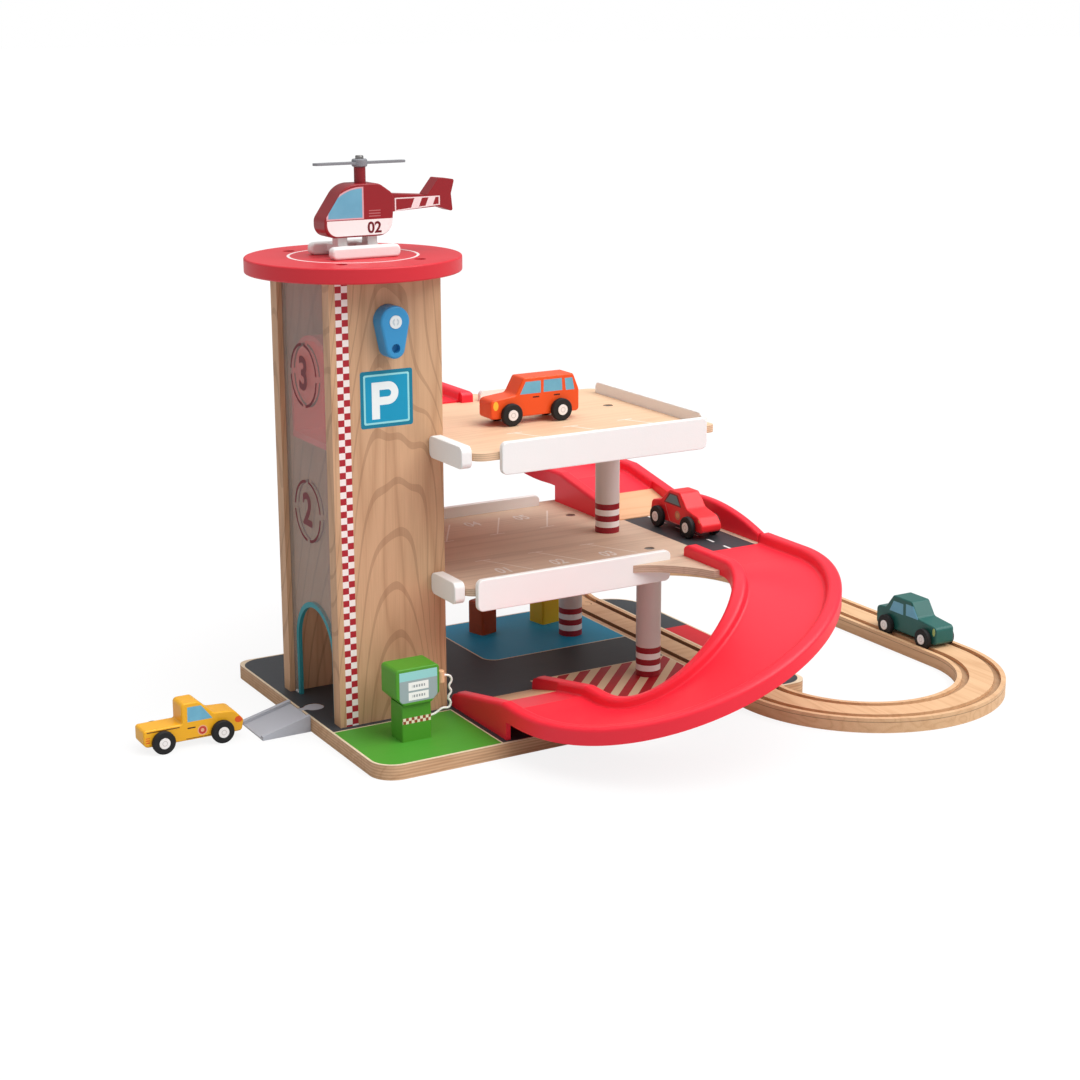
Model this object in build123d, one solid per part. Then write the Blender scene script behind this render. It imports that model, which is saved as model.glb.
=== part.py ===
"""Wooden toy parking garage with a hand-cranked lift, two U-turn ramps, a helipad and a train loop.

Everything is drawn in millimetres from the base board's front left bottom corner: X runs to the
right along the front edge, Y runs back and Z runs up.  save() then moves each piece so that the
part's origin is the middle of the base board's underside.
"""
from build123d import *
from math import acos, cos, pi, radians, sin, tan
import os

# ---------------------------------------------------------------- driving dimensions
base_w, base_d, base_t = 395.0, 288.0, 12.0       # base board, plywood
base_corner_fl, base_corner_fr = 20.0, 13.0       # its corner radii: front left, front right
base_corner_rl, base_corner_rr = 12.0, 35.0       # rear left, rear right

rail_w = 40.0                                     # wooden train track: width, gauge, grooves
rail_t = 12.0
rail_gauge = 26.0
groove_w, groove_deep = 6.0, 3.0
rail_left = 327.4                                 # left edge of the track strip on the base
loop_r = 101.0                                    # centre line of the loop's curves
peg_r, peg_neck_w, peg_reach = 5.5, 6.0, 12.0     # round connectors between the board and the loop
peg_play = 0.6                                    # radial play of a peg in its socket

storey = 109.5                                    # from one drive surface to the next
deck_t = 6.0
lower_front, lower_rear = 49.0, 267.0             # lower deck, Y of its edges
upper_front, upper_rear = 35.0, 222.0             # upper deck
lower_right, upper_right = 398.0, 320.0           # X of the decks' right edges
deck_left = 100.0                                 # X of the deck noses in front of the tower
deck_corner_r = 12.0
lobe_inner_r = 80.0             # tongue under a ramp's start, and its curved side

panel_x0, panel_w, panel_t = 10.3, 93.1, 12.0     # tower side panels
panel_front_y = 93.4                              # front face of the front panel
shaft_d = 87.6                                    # clear depth between the two panels
panel_h = 348.0
window_t, window_inset, window_groove = 3.0, 4.5, 3.0
door_w, door_h = 66.0, 82.0                       # arched door in the window
helipad_r, helipad_t = 84.0, 12.0
helipad_ease = 1.5

fence_t, fence_h, fence_r = 5.0, 22.0, 5.0        # white fences: thickness, height, corner radius
fence_above = 9.8                                 # how far a fence stands above its deck
front_fence_h, front_fence_above = 25.5, 8.0      # the taller ones on the front edges
guard_fence_h, guard_fence_above = 17.5, 5.8      # the short ones at the tower

column_r = 10.4
ramp_r, ramp_w = 95.5, 85.0                       # U-turn ramps: centre line radius, outside width
ramp_x, ramp_y = 246.5, -3.0                      # middle of the lower ramp's turn
ramp_lip = 1.5                                    # its floor lies this far above the deck
ramp_floor_t, ramp_wall_t = 3.0, 4.0
curb_w, curb_h, curb_skirt = 11.0, 8.0, 5.5       # curb: width, height over floor, skirt under it
ramp_lead_in = 51.0                               # straight curbs before the turn
ramp_run_out, ramp_flat_out = 98.0, 16.0          # straight after the turn, and its level part
turn_drop_from, turn_drop_to = 5.0, 169.0         # degrees of the turn between which it falls
level_out_h = 20.0                                # floor over the landing surface after the turn
end_floor_h = 4.0                                 # floor height at the very end of the curbs
foot_y0, road_setback = 8.0, 5.0                   # where the feet and the floor begin
wedge_len = 43.0                                  # wooden wedge that closes the ramp's end

guard_y0, guard_y1, guard_t = 52.0, 171.6, 8.0
guard_peak_y, guard_peak_h = 118.0, 21.5           # highest point of the road guard
crank_x, crank_drop = 58.0, 31.0                  # crank axle; how far it lies under the tower's top
axle_r, axle_play = 3.0, 0.06
drum_r, drum_len = 10.0, 26.0
cord_r = 0.8
wheel_r, wheel_t = 9.2, 4.6                       # vehicle wheels
wheel_track = 26.0                                # middle of wheel to middle of wheel
body_w = 20.4                                     # vehicle bodies, between their wheels
gap = 0.3                                         # running clearance between separate bodies

# ---------------------------------------------------------------- derived levels and places
ground = base_t                                   # drive surface of the base
lower_z = ground + storey
upper_z = lower_z + storey
panel_x1 = panel_x0 + panel_w
panel_rear_y = panel_front_y + panel_t + shaft_d  # front face of the rear panel
shaft_y0 = panel_front_y + panel_t
tower_mid_x = (panel_x0 + panel_x1) / 2
tower_mid_y = (shaft_y0 + panel_rear_y) / 2
panel_top = ground + panel_h
crank_z = panel_top - crank_drop
rail_mid = rail_left + rail_w / 2
loop_right = rail_mid + 2 * loop_r
ramp_half = ramp_w / 2
upper_ramp_x, upper_ramp_y = 250.0, 270.0         # middle of the upper ramp's turn
road_mid = ramp_x + ramp_r


# ---------------------------------------------------------------- helpers
def save(name, shape):
    """Write one sub-part, moved so that the origin is under the middle of the base board."""
    solids = shape.solids()
    whole = solids[0] if len(solids) == 1 else Compound(children=list(solids))
    export_step(Pos(-base_w / 2, -base_d / 2, 0) * whole, os.path.join("parts", name + ".step"))


def slab(x0, x1, y0, y1, z0, z1):
    """A box between two corners."""
    return Pos((x0 + x1) / 2, (y0 + y1) / 2, (z0 + z1) / 2) * Box(x1 - x0, y1 - y0, z1 - z0)


def rod(x, y, z, radius, height):
    """An upright cylinder that stands on (x, y, z)."""
    return Pos(x, y, z + height / 2) * Cylinder(radius, height)


def rod_y(x, y, z, radius, length):
    """A cylinder along Y that starts at y and runs back."""
    return Pos(x, y + length / 2, z) * Rot(90, 0, 0) * Cylinder(radius, length)


def outline(points, radii=0):
    """A flat face from corner points, each corner rounded by its own radius."""
    face = make_face(Polyline(*points, close=True))
    radii = radii if isinstance(radii, (list, tuple)) else [radii] * len(points)
    for point, radius in zip(points, radii):
        if radius > 0:
            corner = face.vertices().sort_by_distance((point[0], point[1], 0))[0]
            face = fillet(corner, radius)
    return face


def plate(points, radii, z0, z1):
    """A board cut to an outline in plan."""
    return Pos(0, 0, z0) * extrude(outline(points, radii), z1 - z0)


def profile_y(points, radii, y0, y1, ease=0.0):
    """A board whose outline is drawn in X and Z; it runs from y0 back to y1, edges eased."""
    body = extrude(outline(points, radii), y1 - y0)
    if ease > 0:
        rims = body.faces().sort_by(Axis.Z)[0].edges() + body.faces().sort_by(Axis.Z)[-1].edges()
        body = fillet(rims, ease)
    return Pos(0, y1, 0) * Rot(90, 0, 0) * body


def profile_x(points, radii, x0, x1, ease=0.0):
    """A board whose outline is drawn in Y and Z; it runs from x0 right to x1, edges eased."""
    body = profile_y(points, radii, 0, x1 - x0, ease)
    return Pos(x1, 0, 0) * Rot(0, 0, 90) * body


def rounded_rect(a0, a1, b0, b1):
    return [(a0, b0), (a1, b0), (a1, b1), (a0, b1)]


# ---------------------------------------------------------------- base and train track
def grooves_straight(y0, y1, mid_x, top):
    cuts = []
    for side in (-1, 1):
        x = mid_x + side * rail_gauge / 2
        cuts.append(slab(x - groove_w / 2, x + groove_w / 2, y0, y1, top - groove_deep, top + 1))
    return cuts


def peg(x, y, direction, play=0.0, height=rail_t, z0=0.0):
    """A round track connector that reaches out of the end at (x, y) along +Y or -Y."""
    head = y + direction * (peg_reach - peg_r)
    neck_w = peg_neck_w + 2 * play
    neck = slab(x - neck_w / 2, x + neck_w / 2, min(y, head), max(y, head), z0, z0 + height)
    return neck + rod(x, head, z0, peg_r + play, height)


def base_board():
    corners = rounded_rect(0, base_w, 0, base_d)
    radii = [base_corner_fl, base_corner_fr, base_corner_rr, base_corner_rl]
    board = plate(corners, radii, 0, base_t)
    for cut in grooves_straight(-1, base_d + 1, rail_mid, base_t):
        board -= cut
    board -= peg(rail_mid, 0, 1, peg_play, base_t + 2, -1)
    board -= peg(rail_mid, base_d, -1, peg_play, base_t + 2, -1)
    board -= ramp_socket()
    for x, y in panel_screw_places():
        board -= rod(x, y, -1, screw_shank_r + 0.4, base_t + 2)
        board -= rod(x, y, -1, screw_head_r + 0.4, 1 + screw_head_h + 0.6)
    for x, y in base_column_places:
        board -= rod(x, y, -1, screw_shank_r + 0.4, base_t + 2)
        board -= rod(x, y, -1, screw_head_r + 0.4, 1 + screw_head_h + 0.6)
    return board


def track_curve(mid_x, mid_y, from_deg, peg_at=None):
    """A quarter turn of grooved track; peg_at says which end, if any, has the board's connector."""
    blank = Cylinder(loop_r + rail_w / 2, rail_t) - Cylinder(loop_r - rail_w / 2, rail_t + 1)
    for side in (-1, 1):
        mid = loop_r + side * rail_gauge / 2
        ring = Cylinder(mid + groove_w / 2, 2 * groove_deep)
        ring -= Cylinder(mid - groove_w / 2, 2 * groove_deep + 1)
        blank -= Pos(0, 0, rail_t / 2) * ring
    reach = 2 * (loop_r + rail_w)
    quarter = blank & (Pos(reach / 2, reach / 2, 0) * Box(reach, reach, 2 * rail_t))
    if peg_at == "start":
        quarter += Pos(0, 0, -rail_t / 2) * peg(loop_r, 0, -1)
    if peg_at == "end":
        quarter += Pos(0, 0, -rail_t / 2) * Rot(0, 0, 90) * peg(loop_r, 0, 1)
    return Pos(mid_x, mid_y, rail_t / 2) * Rot(0, 0, from_deg) * quarter


def track_straight(y0, y1):
    track = slab(loop_right - rail_w / 2, loop_right + rail_w / 2, y0, y1, 0, rail_t)
    for cut in grooves_straight(y0 - 1, y1 + 1, loop_right, rail_t):
        track -= cut
    return track


# ---------------------------------------------------------------- fasteners
screw_head_r, screw_head_h, screw_shank_r = 4.0, 2.4, 1.7
screw_bite = 15.0                                  # thread length in the second piece
panel_screw_inset = 14.0


def screw(x, y, head_z, length, down=True):
    """A flat wood screw with a cross recess; head_z is the outer face of its head."""
    head = Pos(0, 0, -screw_head_h / 2) * Cylinder(screw_head_r, screw_head_h)
    cross = Pos(0, 0, 0) * (Box(4.4, 1.0, 2.0) + Box(1.0, 4.4, 2.0))
    shank = Pos(0, 0, -length / 2) * Cylinder(screw_shank_r, length)
    body = head - cross + shank
    return Pos(x, y, head_z) * (body if down else Rot(180, 0, 0) * body)


def panel_screw_places():
    places = []
    for y in (panel_front_y + panel_t / 2, panel_rear_y + panel_t / 2):
        for x in (panel_x0 + panel_screw_inset, panel_x1 - panel_screw_inset):
            places.append((x, y))
    return places


def pilot_holes(piece, z0, z1):
    for x, y in panel_screw_places():
        piece -= rod(x, y, z0, screw_shank_r + 0.1, z1 - z0)
    return piece


def base_screws():
    parts = []
    for x, y in panel_screw_places():
        parts.append(screw(x, y, 0.4, base_t - 0.4 + screw_bite, down=False))
    for x, y in base_column_places:
        parts.append(screw(x, y, 0.4, base_t - 0.4 + screw_bite, down=False))
    return Compound(children=parts)


def helipad_screws():
    top = panel_top + helipad_t
    places = panel_screw_places()
    return Compound(children=[screw(x, y, top - 1.6, helipad_t - 1.6 + screw_bite) for x, y in places])


# ---------------------------------------------------------------- tower
def tower_panel(y0, axle_through):
    """One plywood side of the tower, with the window's groove on its inner face."""
    panel = slab(panel_x0, panel_x1, y0, y0 + panel_t, ground, panel_top)
    inner_y = y0 + panel_t if axle_through else y0
    groove_x = panel_x0 + window_inset
    panel -= slab(groove_x - 0.15, groove_x + window_t + 0.15, inner_y - window_groove,
                  inner_y + window_groove, ground - 1, panel_top + 1)
    panel = pilot_holes(panel, ground - 1, ground + screw_bite + 1)
    panel = pilot_holes(panel, panel_top - screw_bite - 1, panel_top + 1)
    if axle_through:
        panel -= rod_y(crank_x, y0 - 1, crank_z, axle_r + axle_play, panel_t + 2)
    else:
        panel -= rod_y(crank_x, y0 - 1, crank_z, axle_r + axle_play, panel_t / 2 + 1)
    return panel


def tower_window():
    """Clear sheet that closes the lift shaft's left side, with an arched door at its foot."""
    x0 = panel_x0 + window_inset
    y0 = shaft_y0 - window_groove + 0.2
    y1 = panel_rear_y + window_groove - 0.2
    sheet = slab(x0, x0 + window_t, y0, y1, ground, panel_top)
    half = door_w / 2
    post = door_h - half
    door = slab(x0 - 1, x0 + window_t + 1, tower_mid_y - half, tower_mid_y + half,
                ground - 1, ground + post)
    arch = Pos(x0 + window_t / 2, tower_mid_y, ground + post) * Rot(0, 90, 0) * \
        Cylinder(half, window_t + 2)
    return sheet - door - arch


def helipad():
    disc = Pos(tower_mid_x, tower_mid_y, panel_top + helipad_t / 2) * Cylinder(helipad_r, helipad_t)
    disc = fillet(disc.edges().filter_by(GeomType.CIRCLE), helipad_ease)
    for x, y in panel_screw_places():
        disc -= rod(x, y, panel_top - 1, screw_shank_r + 0.4, helipad_t + 2)
        disc -= rod(x, y, panel_top + helipad_t - 4.2, screw_head_r + 0.6, 5)
    return disc


# ---------------------------------------------------------------- lift
cabin_side = 0.8                                   # cabin to panel, each side
cabin_x0, cabin_x1 = panel_x0 + window_inset + window_t + 2.0, panel_x1 - 2.0
cabin_wall, cabin_floor = 4.0, 5.0
cabin_h = 86.0
guide_w, guide_deep = 8.0, 3.0                     # upright guide strips on the panels


def lift_cabin():
    """Arched tunnel that a car drives through; its floor is level with the upper deck at rest."""
    y0, y1 = shaft_y0 + cabin_side, panel_rear_y - cabin_side
    half = (y1 - y0) / 2
    z0 = upper_z - cabin_floor
    shell_points = rounded_rect(y0, y1, z0, z0 + cabin_h)
    room_points = rounded_rect(y0 + cabin_wall, y1 - cabin_wall, z0 + cabin_floor,
                               z0 + cabin_h - cabin_wall)
    shell = profile_x(shell_points, [0, 0, half - 1, half - 1], cabin_x0, cabin_x1)
    inner = half - cabin_wall - 1
    room = profile_x(room_points, [0, 0, inner, inner], cabin_x0 - 1, cabin_x1 + 1)
    cabin = shell - room
    mid = (cabin_x0 + cabin_x1) / 2
    slot = guide_w / 2 + gap
    for y in (y0, y1):
        cabin -= slab(mid - slot, mid + slot, y - guide_deep, y + guide_deep, z0 - 1,
                      z0 + cabin_h + 1)
    return cabin


def lift_guides():
    """Two upright wooden strips on the panels' inner faces that keep the cabin square."""
    mid = (cabin_x0 + cabin_x1) / 2
    z1 = crank_z - drum_r - 6
    depth = guide_deep + cabin_side - gap
    front = slab(mid - guide_w / 2, mid + guide_w / 2, shaft_y0, shaft_y0 + depth, ground, z1)
    rear = slab(mid - guide_w / 2, mid + guide_w / 2, panel_rear_y - depth, panel_rear_y, ground, z1)
    return Compound(children=[front, rear])


def cord_place():
    return crank_x - drum_r - cord_r - gap, tower_mid_y


def cabin_hook():
    """Round boss on the cabin roof with a cross hole for the cord's knot."""
    x, y = cord_place()
    z0 = upper_z - cabin_floor + cabin_h
    boss = rod(x, y, z0, 3.5, 5.0)
    return boss - rod(x, y, z0 + 2, cord_r + 0.2, 4)


def lift_cord():
    """Hoisting cord, from the cabin's boss up to the drum's side."""
    x, y = cord_place()
    z0 = upper_z - cabin_floor + cabin_h + 2.2
    return rod(x, y, z0, cord_r, crank_z - z0)


def crank_axle():
    y0 = panel_front_y - gap - crank_depth + 0.6
    return rod_y(crank_x, y0, crank_z, axle_r, panel_rear_y + panel_t / 2 - gap - y0)


def cord_drum():
    y0 = tower_mid_y - drum_len / 2
    drum = rod_y(crank_x, y0, crank_z, drum_r, drum_len)
    for y in (y0 - 3.0, y0 + drum_len):
        drum += rod_y(crank_x, y, crank_z, drum_r + 4.5, 3.0)
    return drum - rod_y(crank_x, y0 - 4, crank_z, axle_r, drum_len + 8)


crank_depth, crank_top_r, crank_tip_r, crank_throw = 14.0, 12.0, 8.0, 20.0


def crank_handle():
    """Tear-shaped crank: a big round end on the axle and a small one below it."""
    top = Pos(crank_x, crank_z) * Circle(crank_top_r)
    tip = Pos(crank_x, crank_z - crank_throw) * Circle(crank_tip_r)
    lean = acos((crank_top_r - crank_tip_r) / crank_throw)
    sides = []
    for side in (-1, 1):
        for centre_z, radius in ((crank_z, crank_top_r), (crank_z - crank_throw, crank_tip_r)):
            sides.append((crank_x + side * radius * sin(lean), centre_z - radius * cos(lean)))
    web = make_face(Polyline(sides[0], sides[1], sides[3], sides[2], close=True))
    body = extrude(top + web + tip, crank_depth)
    body = fillet(body.faces().sort_by(Axis.Z)[-1].edges(), 2.0)
    body = Pos(0, panel_front_y - gap, 0) * Rot(90, 0, 0) * body
    body -= rod_y(crank_x, panel_front_y - crank_depth - 2, crank_z, axle_r, crank_depth + 4)
    face_y = panel_front_y - gap - crank_depth
    body -= rod_y(crank_x, face_y - 1, crank_z, cap_r + 0.1, 1.6)
    return body - rod_y(crank_x, face_y - 1, crank_z - crank_throw, tip_hole_r, 6.0)


cap_r, tip_hole_r = 5.0, 3.5                       # crank's cap, and the blind hole in its tip


def crank_cap():
    face_y = panel_front_y - gap - crank_depth
    return rod_y(crank_x, face_y - 0.4, crank_z, cap_r, 0.8)


# ---------------------------------------------------------------- decks
def tongue(seat_x, edge_y, end_y, inner_side, reach_dir):
    """Reach of a deck under a ramp's start; the side toward the turn's middle is a wide curve."""
    half = ramp_half - ramp_wall_t - gap
    inner_x = seat_x + inner_side * ramp_half
    outer_x = seat_x - inner_side * half
    y0, y1 = sorted((edge_y - reach_dir * 5, end_y))
    far_x = inner_x + inner_side * lobe_inner_r
    x0, x1 = sorted((far_x, outer_x))
    board = slab(x0, x1, y0, y1, -deck_t, 0)
    board -= rod(far_x, edge_y + reach_dir * lobe_inner_r, -deck_t - 1, lobe_inner_r, deck_t + 2)
    return board


def lower_deck_board():
    """Outline of the lower deck: a nose in front of the tower and a tongue under the ramp."""
    points = [(deck_left, lower_front), (lower_right, lower_front), (lower_right, lower_rear),
              (panel_x1, lower_rear), (panel_x1, panel_front_y), (deck_left, panel_front_y)]
    board = plate(points, [deck_corner_r, 6, 10, 3, 0, 0], lower_z - deck_t, lower_z)
    return board + Pos(0, 0, lower_z) * tongue(road_mid, lower_front, ramp_y, -1, -1)


def upper_deck_board():
    points = [(deck_left, upper_front), (upper_right, upper_front), (upper_right, upper_rear),
              (panel_x1, upper_rear), (panel_x1, panel_front_y), (deck_left, panel_front_y)]
    board = plate(points, [deck_corner_r, 6, 10, 3, 0, 0], upper_z - deck_t, upper_z)
    return board + Pos(0, 0, upper_z) * tongue(upper_ramp_x - ramp_r, upper_rear, upper_ramp_y, 1, 1)


def with_screw_recess(board, places, top):
    for x, y in places:
        board -= rod(x, y, top - deck_t - 1, screw_shank_r + 0.4, deck_t + 2)
        board -= rod(x, y, top - screw_head_h - 0.6, screw_head_r + 0.4, screw_head_h + 2)
    return board


base_column_places = [(288.0, 82.0), (289.0, 211.0)]
upper_column_place = (288.0, 148.0)


def lower_deck():
    board = with_screw_recess(lower_deck_board(), base_column_places, lower_z)
    board -= fence_slot(*lower_front_fence_box)
    board -= fence_slot(*lower_rear_fence_box)
    x, y = upper_column_place
    under = lower_z - deck_t - 1
    board -= rod(x, y, under, screw_shank_r + 0.4, deck_t + 2)
    return board - rod(x, y, under, screw_head_r + 0.4, 1 + screw_head_h + 0.6)


def upper_deck():
    board = with_screw_recess(upper_deck_board(), [upper_column_place], upper_z)
    board -= fence_slot(*upper_rear_fence_box)
    return board - fence_slot(*upper_right_fence_box)


def column(x, y, z0):
    """Turned post with screw pilots in both ends."""
    post = rod(x, y, z0, column_r, storey - deck_t)
    post -= rod(x, y, z0 - 1, screw_shank_r + 0.1, screw_bite + 2)
    return post - rod(x, y, z0 + storey - deck_t - screw_bite - 1, screw_shank_r + 0.1, screw_bite + 2)


def column_screws():
    sunk = 0.6
    parts = []
    for x, y in base_column_places:
        parts.append(screw(x, y, lower_z - sunk, deck_t - sunk + screw_bite))
    x, y = upper_column_place
    parts.append(screw(x, y, upper_z - sunk, deck_t - sunk + screw_bite))
    parts.append(screw(x, y, lower_z - deck_t + sunk, deck_t - sunk + screw_bite, down=False))
    return Compound(children=parts)


# ---------------------------------------------------------------- fences
def fence_z(deck_z, height=fence_h, above=fence_above):
    return deck_z + above - height, deck_z + above


def front_fence_z(deck_z):
    return fence_z(deck_z, front_fence_h, front_fence_above)


def guard_fence_z(deck_z):
    return fence_z(deck_z, guard_fence_h, guard_fence_above)


side_fence_t = 6.0                                 # the fence on the upper deck's right edge
guard_fence_t = 9.0                                # the left guards
nose_inset = 4.0                                   # left guards' front ends behind the deck's edge
upper_front_fence_box = (deck_left + 21.0, upper_right - 12.0, upper_front - fence_t, upper_front,
                         *front_fence_z(upper_z))
upper_left_guard_box = (deck_left - guard_fence_t, deck_left, upper_front + nose_inset, panel_front_y,
                        *guard_fence_z(upper_z))
upper_right_fence_box = (upper_right - 5.0 - side_fence_t, upper_right - 5.0, upper_front + 5.0,
                         upper_rear - 19.0, *fence_z(upper_z))
upper_rear_fence_box = (upper_ramp_x - ramp_r + ramp_half + 6.0, upper_right - 35.0,
                        upper_rear - fence_t, upper_rear, *fence_z(upper_z))
lower_front_fence_box = (deck_left + 6.5, road_mid - ramp_half - 15.5, lower_front - fence_t,
                         lower_front, *front_fence_z(lower_z))
lower_left_guard_box = (deck_left - guard_fence_t, deck_left, lower_front + nose_inset, panel_front_y,
                        *guard_fence_z(lower_z))
lower_rear_fence_box = (deck_left + 50.0, lower_right - 115.0, lower_rear - 12.0,
                        lower_rear - 12.0 + fence_t, *fence_z(lower_z))
fence_slot_play = 0.15


def fence_slot(x0, x1, y0, y1, z0, z1):
    """The opening that a fence leaves in a deck."""
    e = fence_slot_play
    return slab(x0 - e, x1 + e, y0 - e, y1 + e, z0, z1)


def fence(x0, x1, y0, y1, z0, z1):
    """A white fence board with rounded corners and eased edges, along X or along Y."""
    if x1 - x0 > y1 - y0:
        return profile_y(rounded_rect(x0, x1, z0, z1), [fence_r] * 4, y0, y1, 0.9)
    return profile_x(rounded_rect(y0, y1, z0, z1), [fence_r] * 4, x0, x1, 0.9)


# ---------------------------------------------------------------- U-turn ramps
def curb_top(turn_deg):
    """Height of the curb's top over the landing surface at an angle of the turn."""
    t = min(max((turn_deg - turn_drop_from) / (turn_drop_to - turn_drop_from), 0), 1)
    high = storey + ramp_lip
    low = level_out_h
    return low + (high - low) * (1 + cos(pi * t)) / 2 + curb_h


def ramp_section(top_h):
    """Cross-section of the ramp, X across and Y up, with its curb tops at height top_h."""
    floor = top_h - curb_h
    half, inner = ramp_half, ramp_half - curb_w
    wall = ramp_half - ramp_wall_t
    right = [(wall, floor - ramp_floor_t), (wall, floor - curb_skirt), (half, floor - curb_skirt),
             (half, top_h), (inner, top_h), (inner - 1.5, floor)]
    left = [(-x, y) for x, y in reversed(right)]
    return outline(right + left, [0, 0, 0, 3.4, 3.4, 2.0, 2.0, 3.4, 3.4, 0, 0, 0])


def ramp_station(turn_deg, along=0.0, top_h=None):
    """The section placed at an angle of the turn; along moves it straight on past the turn."""
    a = radians(turn_deg)
    forward = Vector(-sin(a), -cos(a), 0)
    origin = Vector(ramp_r * cos(a), -ramp_r * sin(a), 0) + forward * along
    plane = Plane(origin=origin, x_dir=Vector(cos(a), -sin(a), 0), z_dir=forward)
    return plane * ramp_section(curb_top(turn_deg) if top_h is None else top_h)


def end_rounding(x0, x1, y, z, radius, y_dir):
    """What is cut away to round a curb's top corner at its end."""
    corner = slab(x0, x1, min(y - y_dir * radius, y + y_dir), max(y - y_dir * radius, y + y_dir),
                  z - radius, z + 3)
    pin = Pos((x0 + x1) / 2, y - y_dir * radius, z - radius) * Rot(0, 90, 0) * \
        Cylinder(radius, x1 - x0 + 2)
    return corner - pin


def ramp_lead_in_piece():
    """Straight start of the channel; its floor begins a little behind the curbs' ends."""
    top = curb_top(0)
    lead = extrude(ramp_station(0, 0), -ramp_lead_in)
    inner = ramp_half - curb_w + 0.5
    x0, x1 = ramp_r - ramp_half - 1, ramp_r + ramp_half + 1
    lead -= slab(ramp_r - inner, ramp_r + inner, ramp_lead_in - road_setback, ramp_lead_in + 1,
                 storey - 10, storey + curb_h + 5)
    return lead - end_rounding(x0, x1, ramp_lead_in, top, 5.0, 1)


def ramp_run_out_piece():
    """Straight end of the channel and the walls under it that stand on the landing."""
    level_top, end_top = curb_top(180), end_floor_h + curb_h
    level = loft([ramp_station(180, 0), ramp_station(180, ramp_flat_out, level_top)])
    run = loft([ramp_station(180, ramp_flat_out, level_top), ramp_station(180, ramp_run_out, end_top)])
    points = [(foot_y0, 0), (ramp_run_out, 0), (ramp_run_out, end_floor_h),
              (ramp_flat_out, level_out_h), (foot_y0, level_out_h)]
    outer = profile_x(points, 0, -ramp_r - ramp_half, -ramp_r - ramp_half + ramp_wall_t)
    inner = profile_x(points, 0, -ramp_r + ramp_half - ramp_wall_t, -ramp_r + ramp_half)
    piece = level + run + outer + inner
    half = ramp_half - curb_w + 0.5
    x0, x1 = -ramp_r - ramp_half - 1, -ramp_r + ramp_half + 1
    piece -= slab(-ramp_r - half, -ramp_r + half, ramp_run_out - wedge_len, ramp_run_out + 1, -1,
                  level_out_h + 20)
    piece -= slab(x0, x1, 0, ramp_run_out + 1, -20, 0)
    return piece - end_rounding(x0, x1, ramp_run_out, end_top, 7.0, 1)


def ramp_turn_piece():
    """The falling half turn of the channel."""
    steps = 12
    return loft([ramp_station(180.0 * k / steps) for k in range(steps + 1)])


def end_wedge():
    """Wooden wedge between the curbs at the ramp's foot."""
    inner = ramp_half - curb_w + 0.2
    y0 = ramp_run_out - wedge_len
    slope = (level_out_h - end_floor_h) / (ramp_run_out - ramp_flat_out)
    high = level_out_h - (y0 - ramp_flat_out) * slope
    points = [(y0 + gap, 0), (ramp_run_out, 0), (ramp_run_out, 0.8), (y0 + gap, high)]
    return profile_x(points, 0, -ramp_r - inner, -ramp_r + inner)


def at_lower(piece):
    return Pos(ramp_x, ramp_y, ground) * piece


def at_upper(piece):
    return Pos(upper_ramp_x, upper_ramp_y, lower_z) * Rot(0, 0, 180) * piece


def road_guard():
    """Red rail beside the road; its top is one shallow arc."""
    low, high = lower_z + 7.5, lower_z + 18.0
    arc = ThreePointArc((guard_y1, high), (guard_peak_y, lower_z + guard_peak_h), (guard_y0, low))
    sides = Polyline((guard_y0, low), (guard_y0, lower_z), (guard_y1, lower_z), (guard_y1, high))
    body = extrude(make_face(arc + sides), guard_t)
    body = fillet(body.edges().filter_by(GeomType.CIRCLE), 3.0)
    return Pos(road_mid + ramp_half - guard_t, 0, 0) * Rot(0, 0, 90) * Rot(90, 0, 0) * body


# ---------------------------------------------------------------- entry ramp
entry_y0, entry_y1, entry_len = 128.0, 172.0, 41.0
tab_r, tab_x, tab_neck = 8.0, 12.0, 7.0
tab_t = 6.0


def ramp_socket():
    mid = (entry_y0 + entry_y1) / 2
    neck = slab(-1, tab_x, mid - tab_neck / 2 - 0.4, mid + tab_neck / 2 + 0.4, base_t - tab_t, base_t + 1)
    return neck + rod(tab_x, mid, base_t - tab_t, tab_r + 0.4, tab_t + 1)


def entry_ramp():
    """Grey moulded ramp up to the base board, hooked into the board by a round tab."""
    mid = (entry_y0 + entry_y1) / 2
    edge = base_t + 1.6
    side = [(-entry_len, 0), (-0.3, 0), (-0.3, edge), (-entry_len, 3.4)]
    lane = [(-entry_len - 1, 0.8), (0.2, base_t - 0.6), (0.2, edge + 6), (-entry_len - 1, edge + 6)]
    body = profile_y(side, 0, entry_y0, entry_y1)
    body -= profile_y(lane, 0, entry_y0 + 4, entry_y1 - 4)
    z0 = base_t - tab_t + 0.2
    tab = slab(-0.5, tab_x, mid - tab_neck / 2, mid + tab_neck / 2, z0, base_t - 0.6)
    return body + tab + rod(tab_x, mid, z0, tab_r, base_t - 0.6 - z0)


# ---------------------------------------------------------------- fuel pump and blocks
pump_x, pump_y = 50.0, 50.0
pump_stem_w, pump_stem_d, pump_stem_h = 25.0, 20.0, 30.0
pump_head_w, pump_head_d, pump_head_h = 37.0, 26.0, 29.5
pump_chamfer = 7.0
nozzle_r, nozzle_len = 2.8, 10.0
nozzle_in = 3.5                                    # its middle behind the head's front face
hose_r = 0.9


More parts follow.
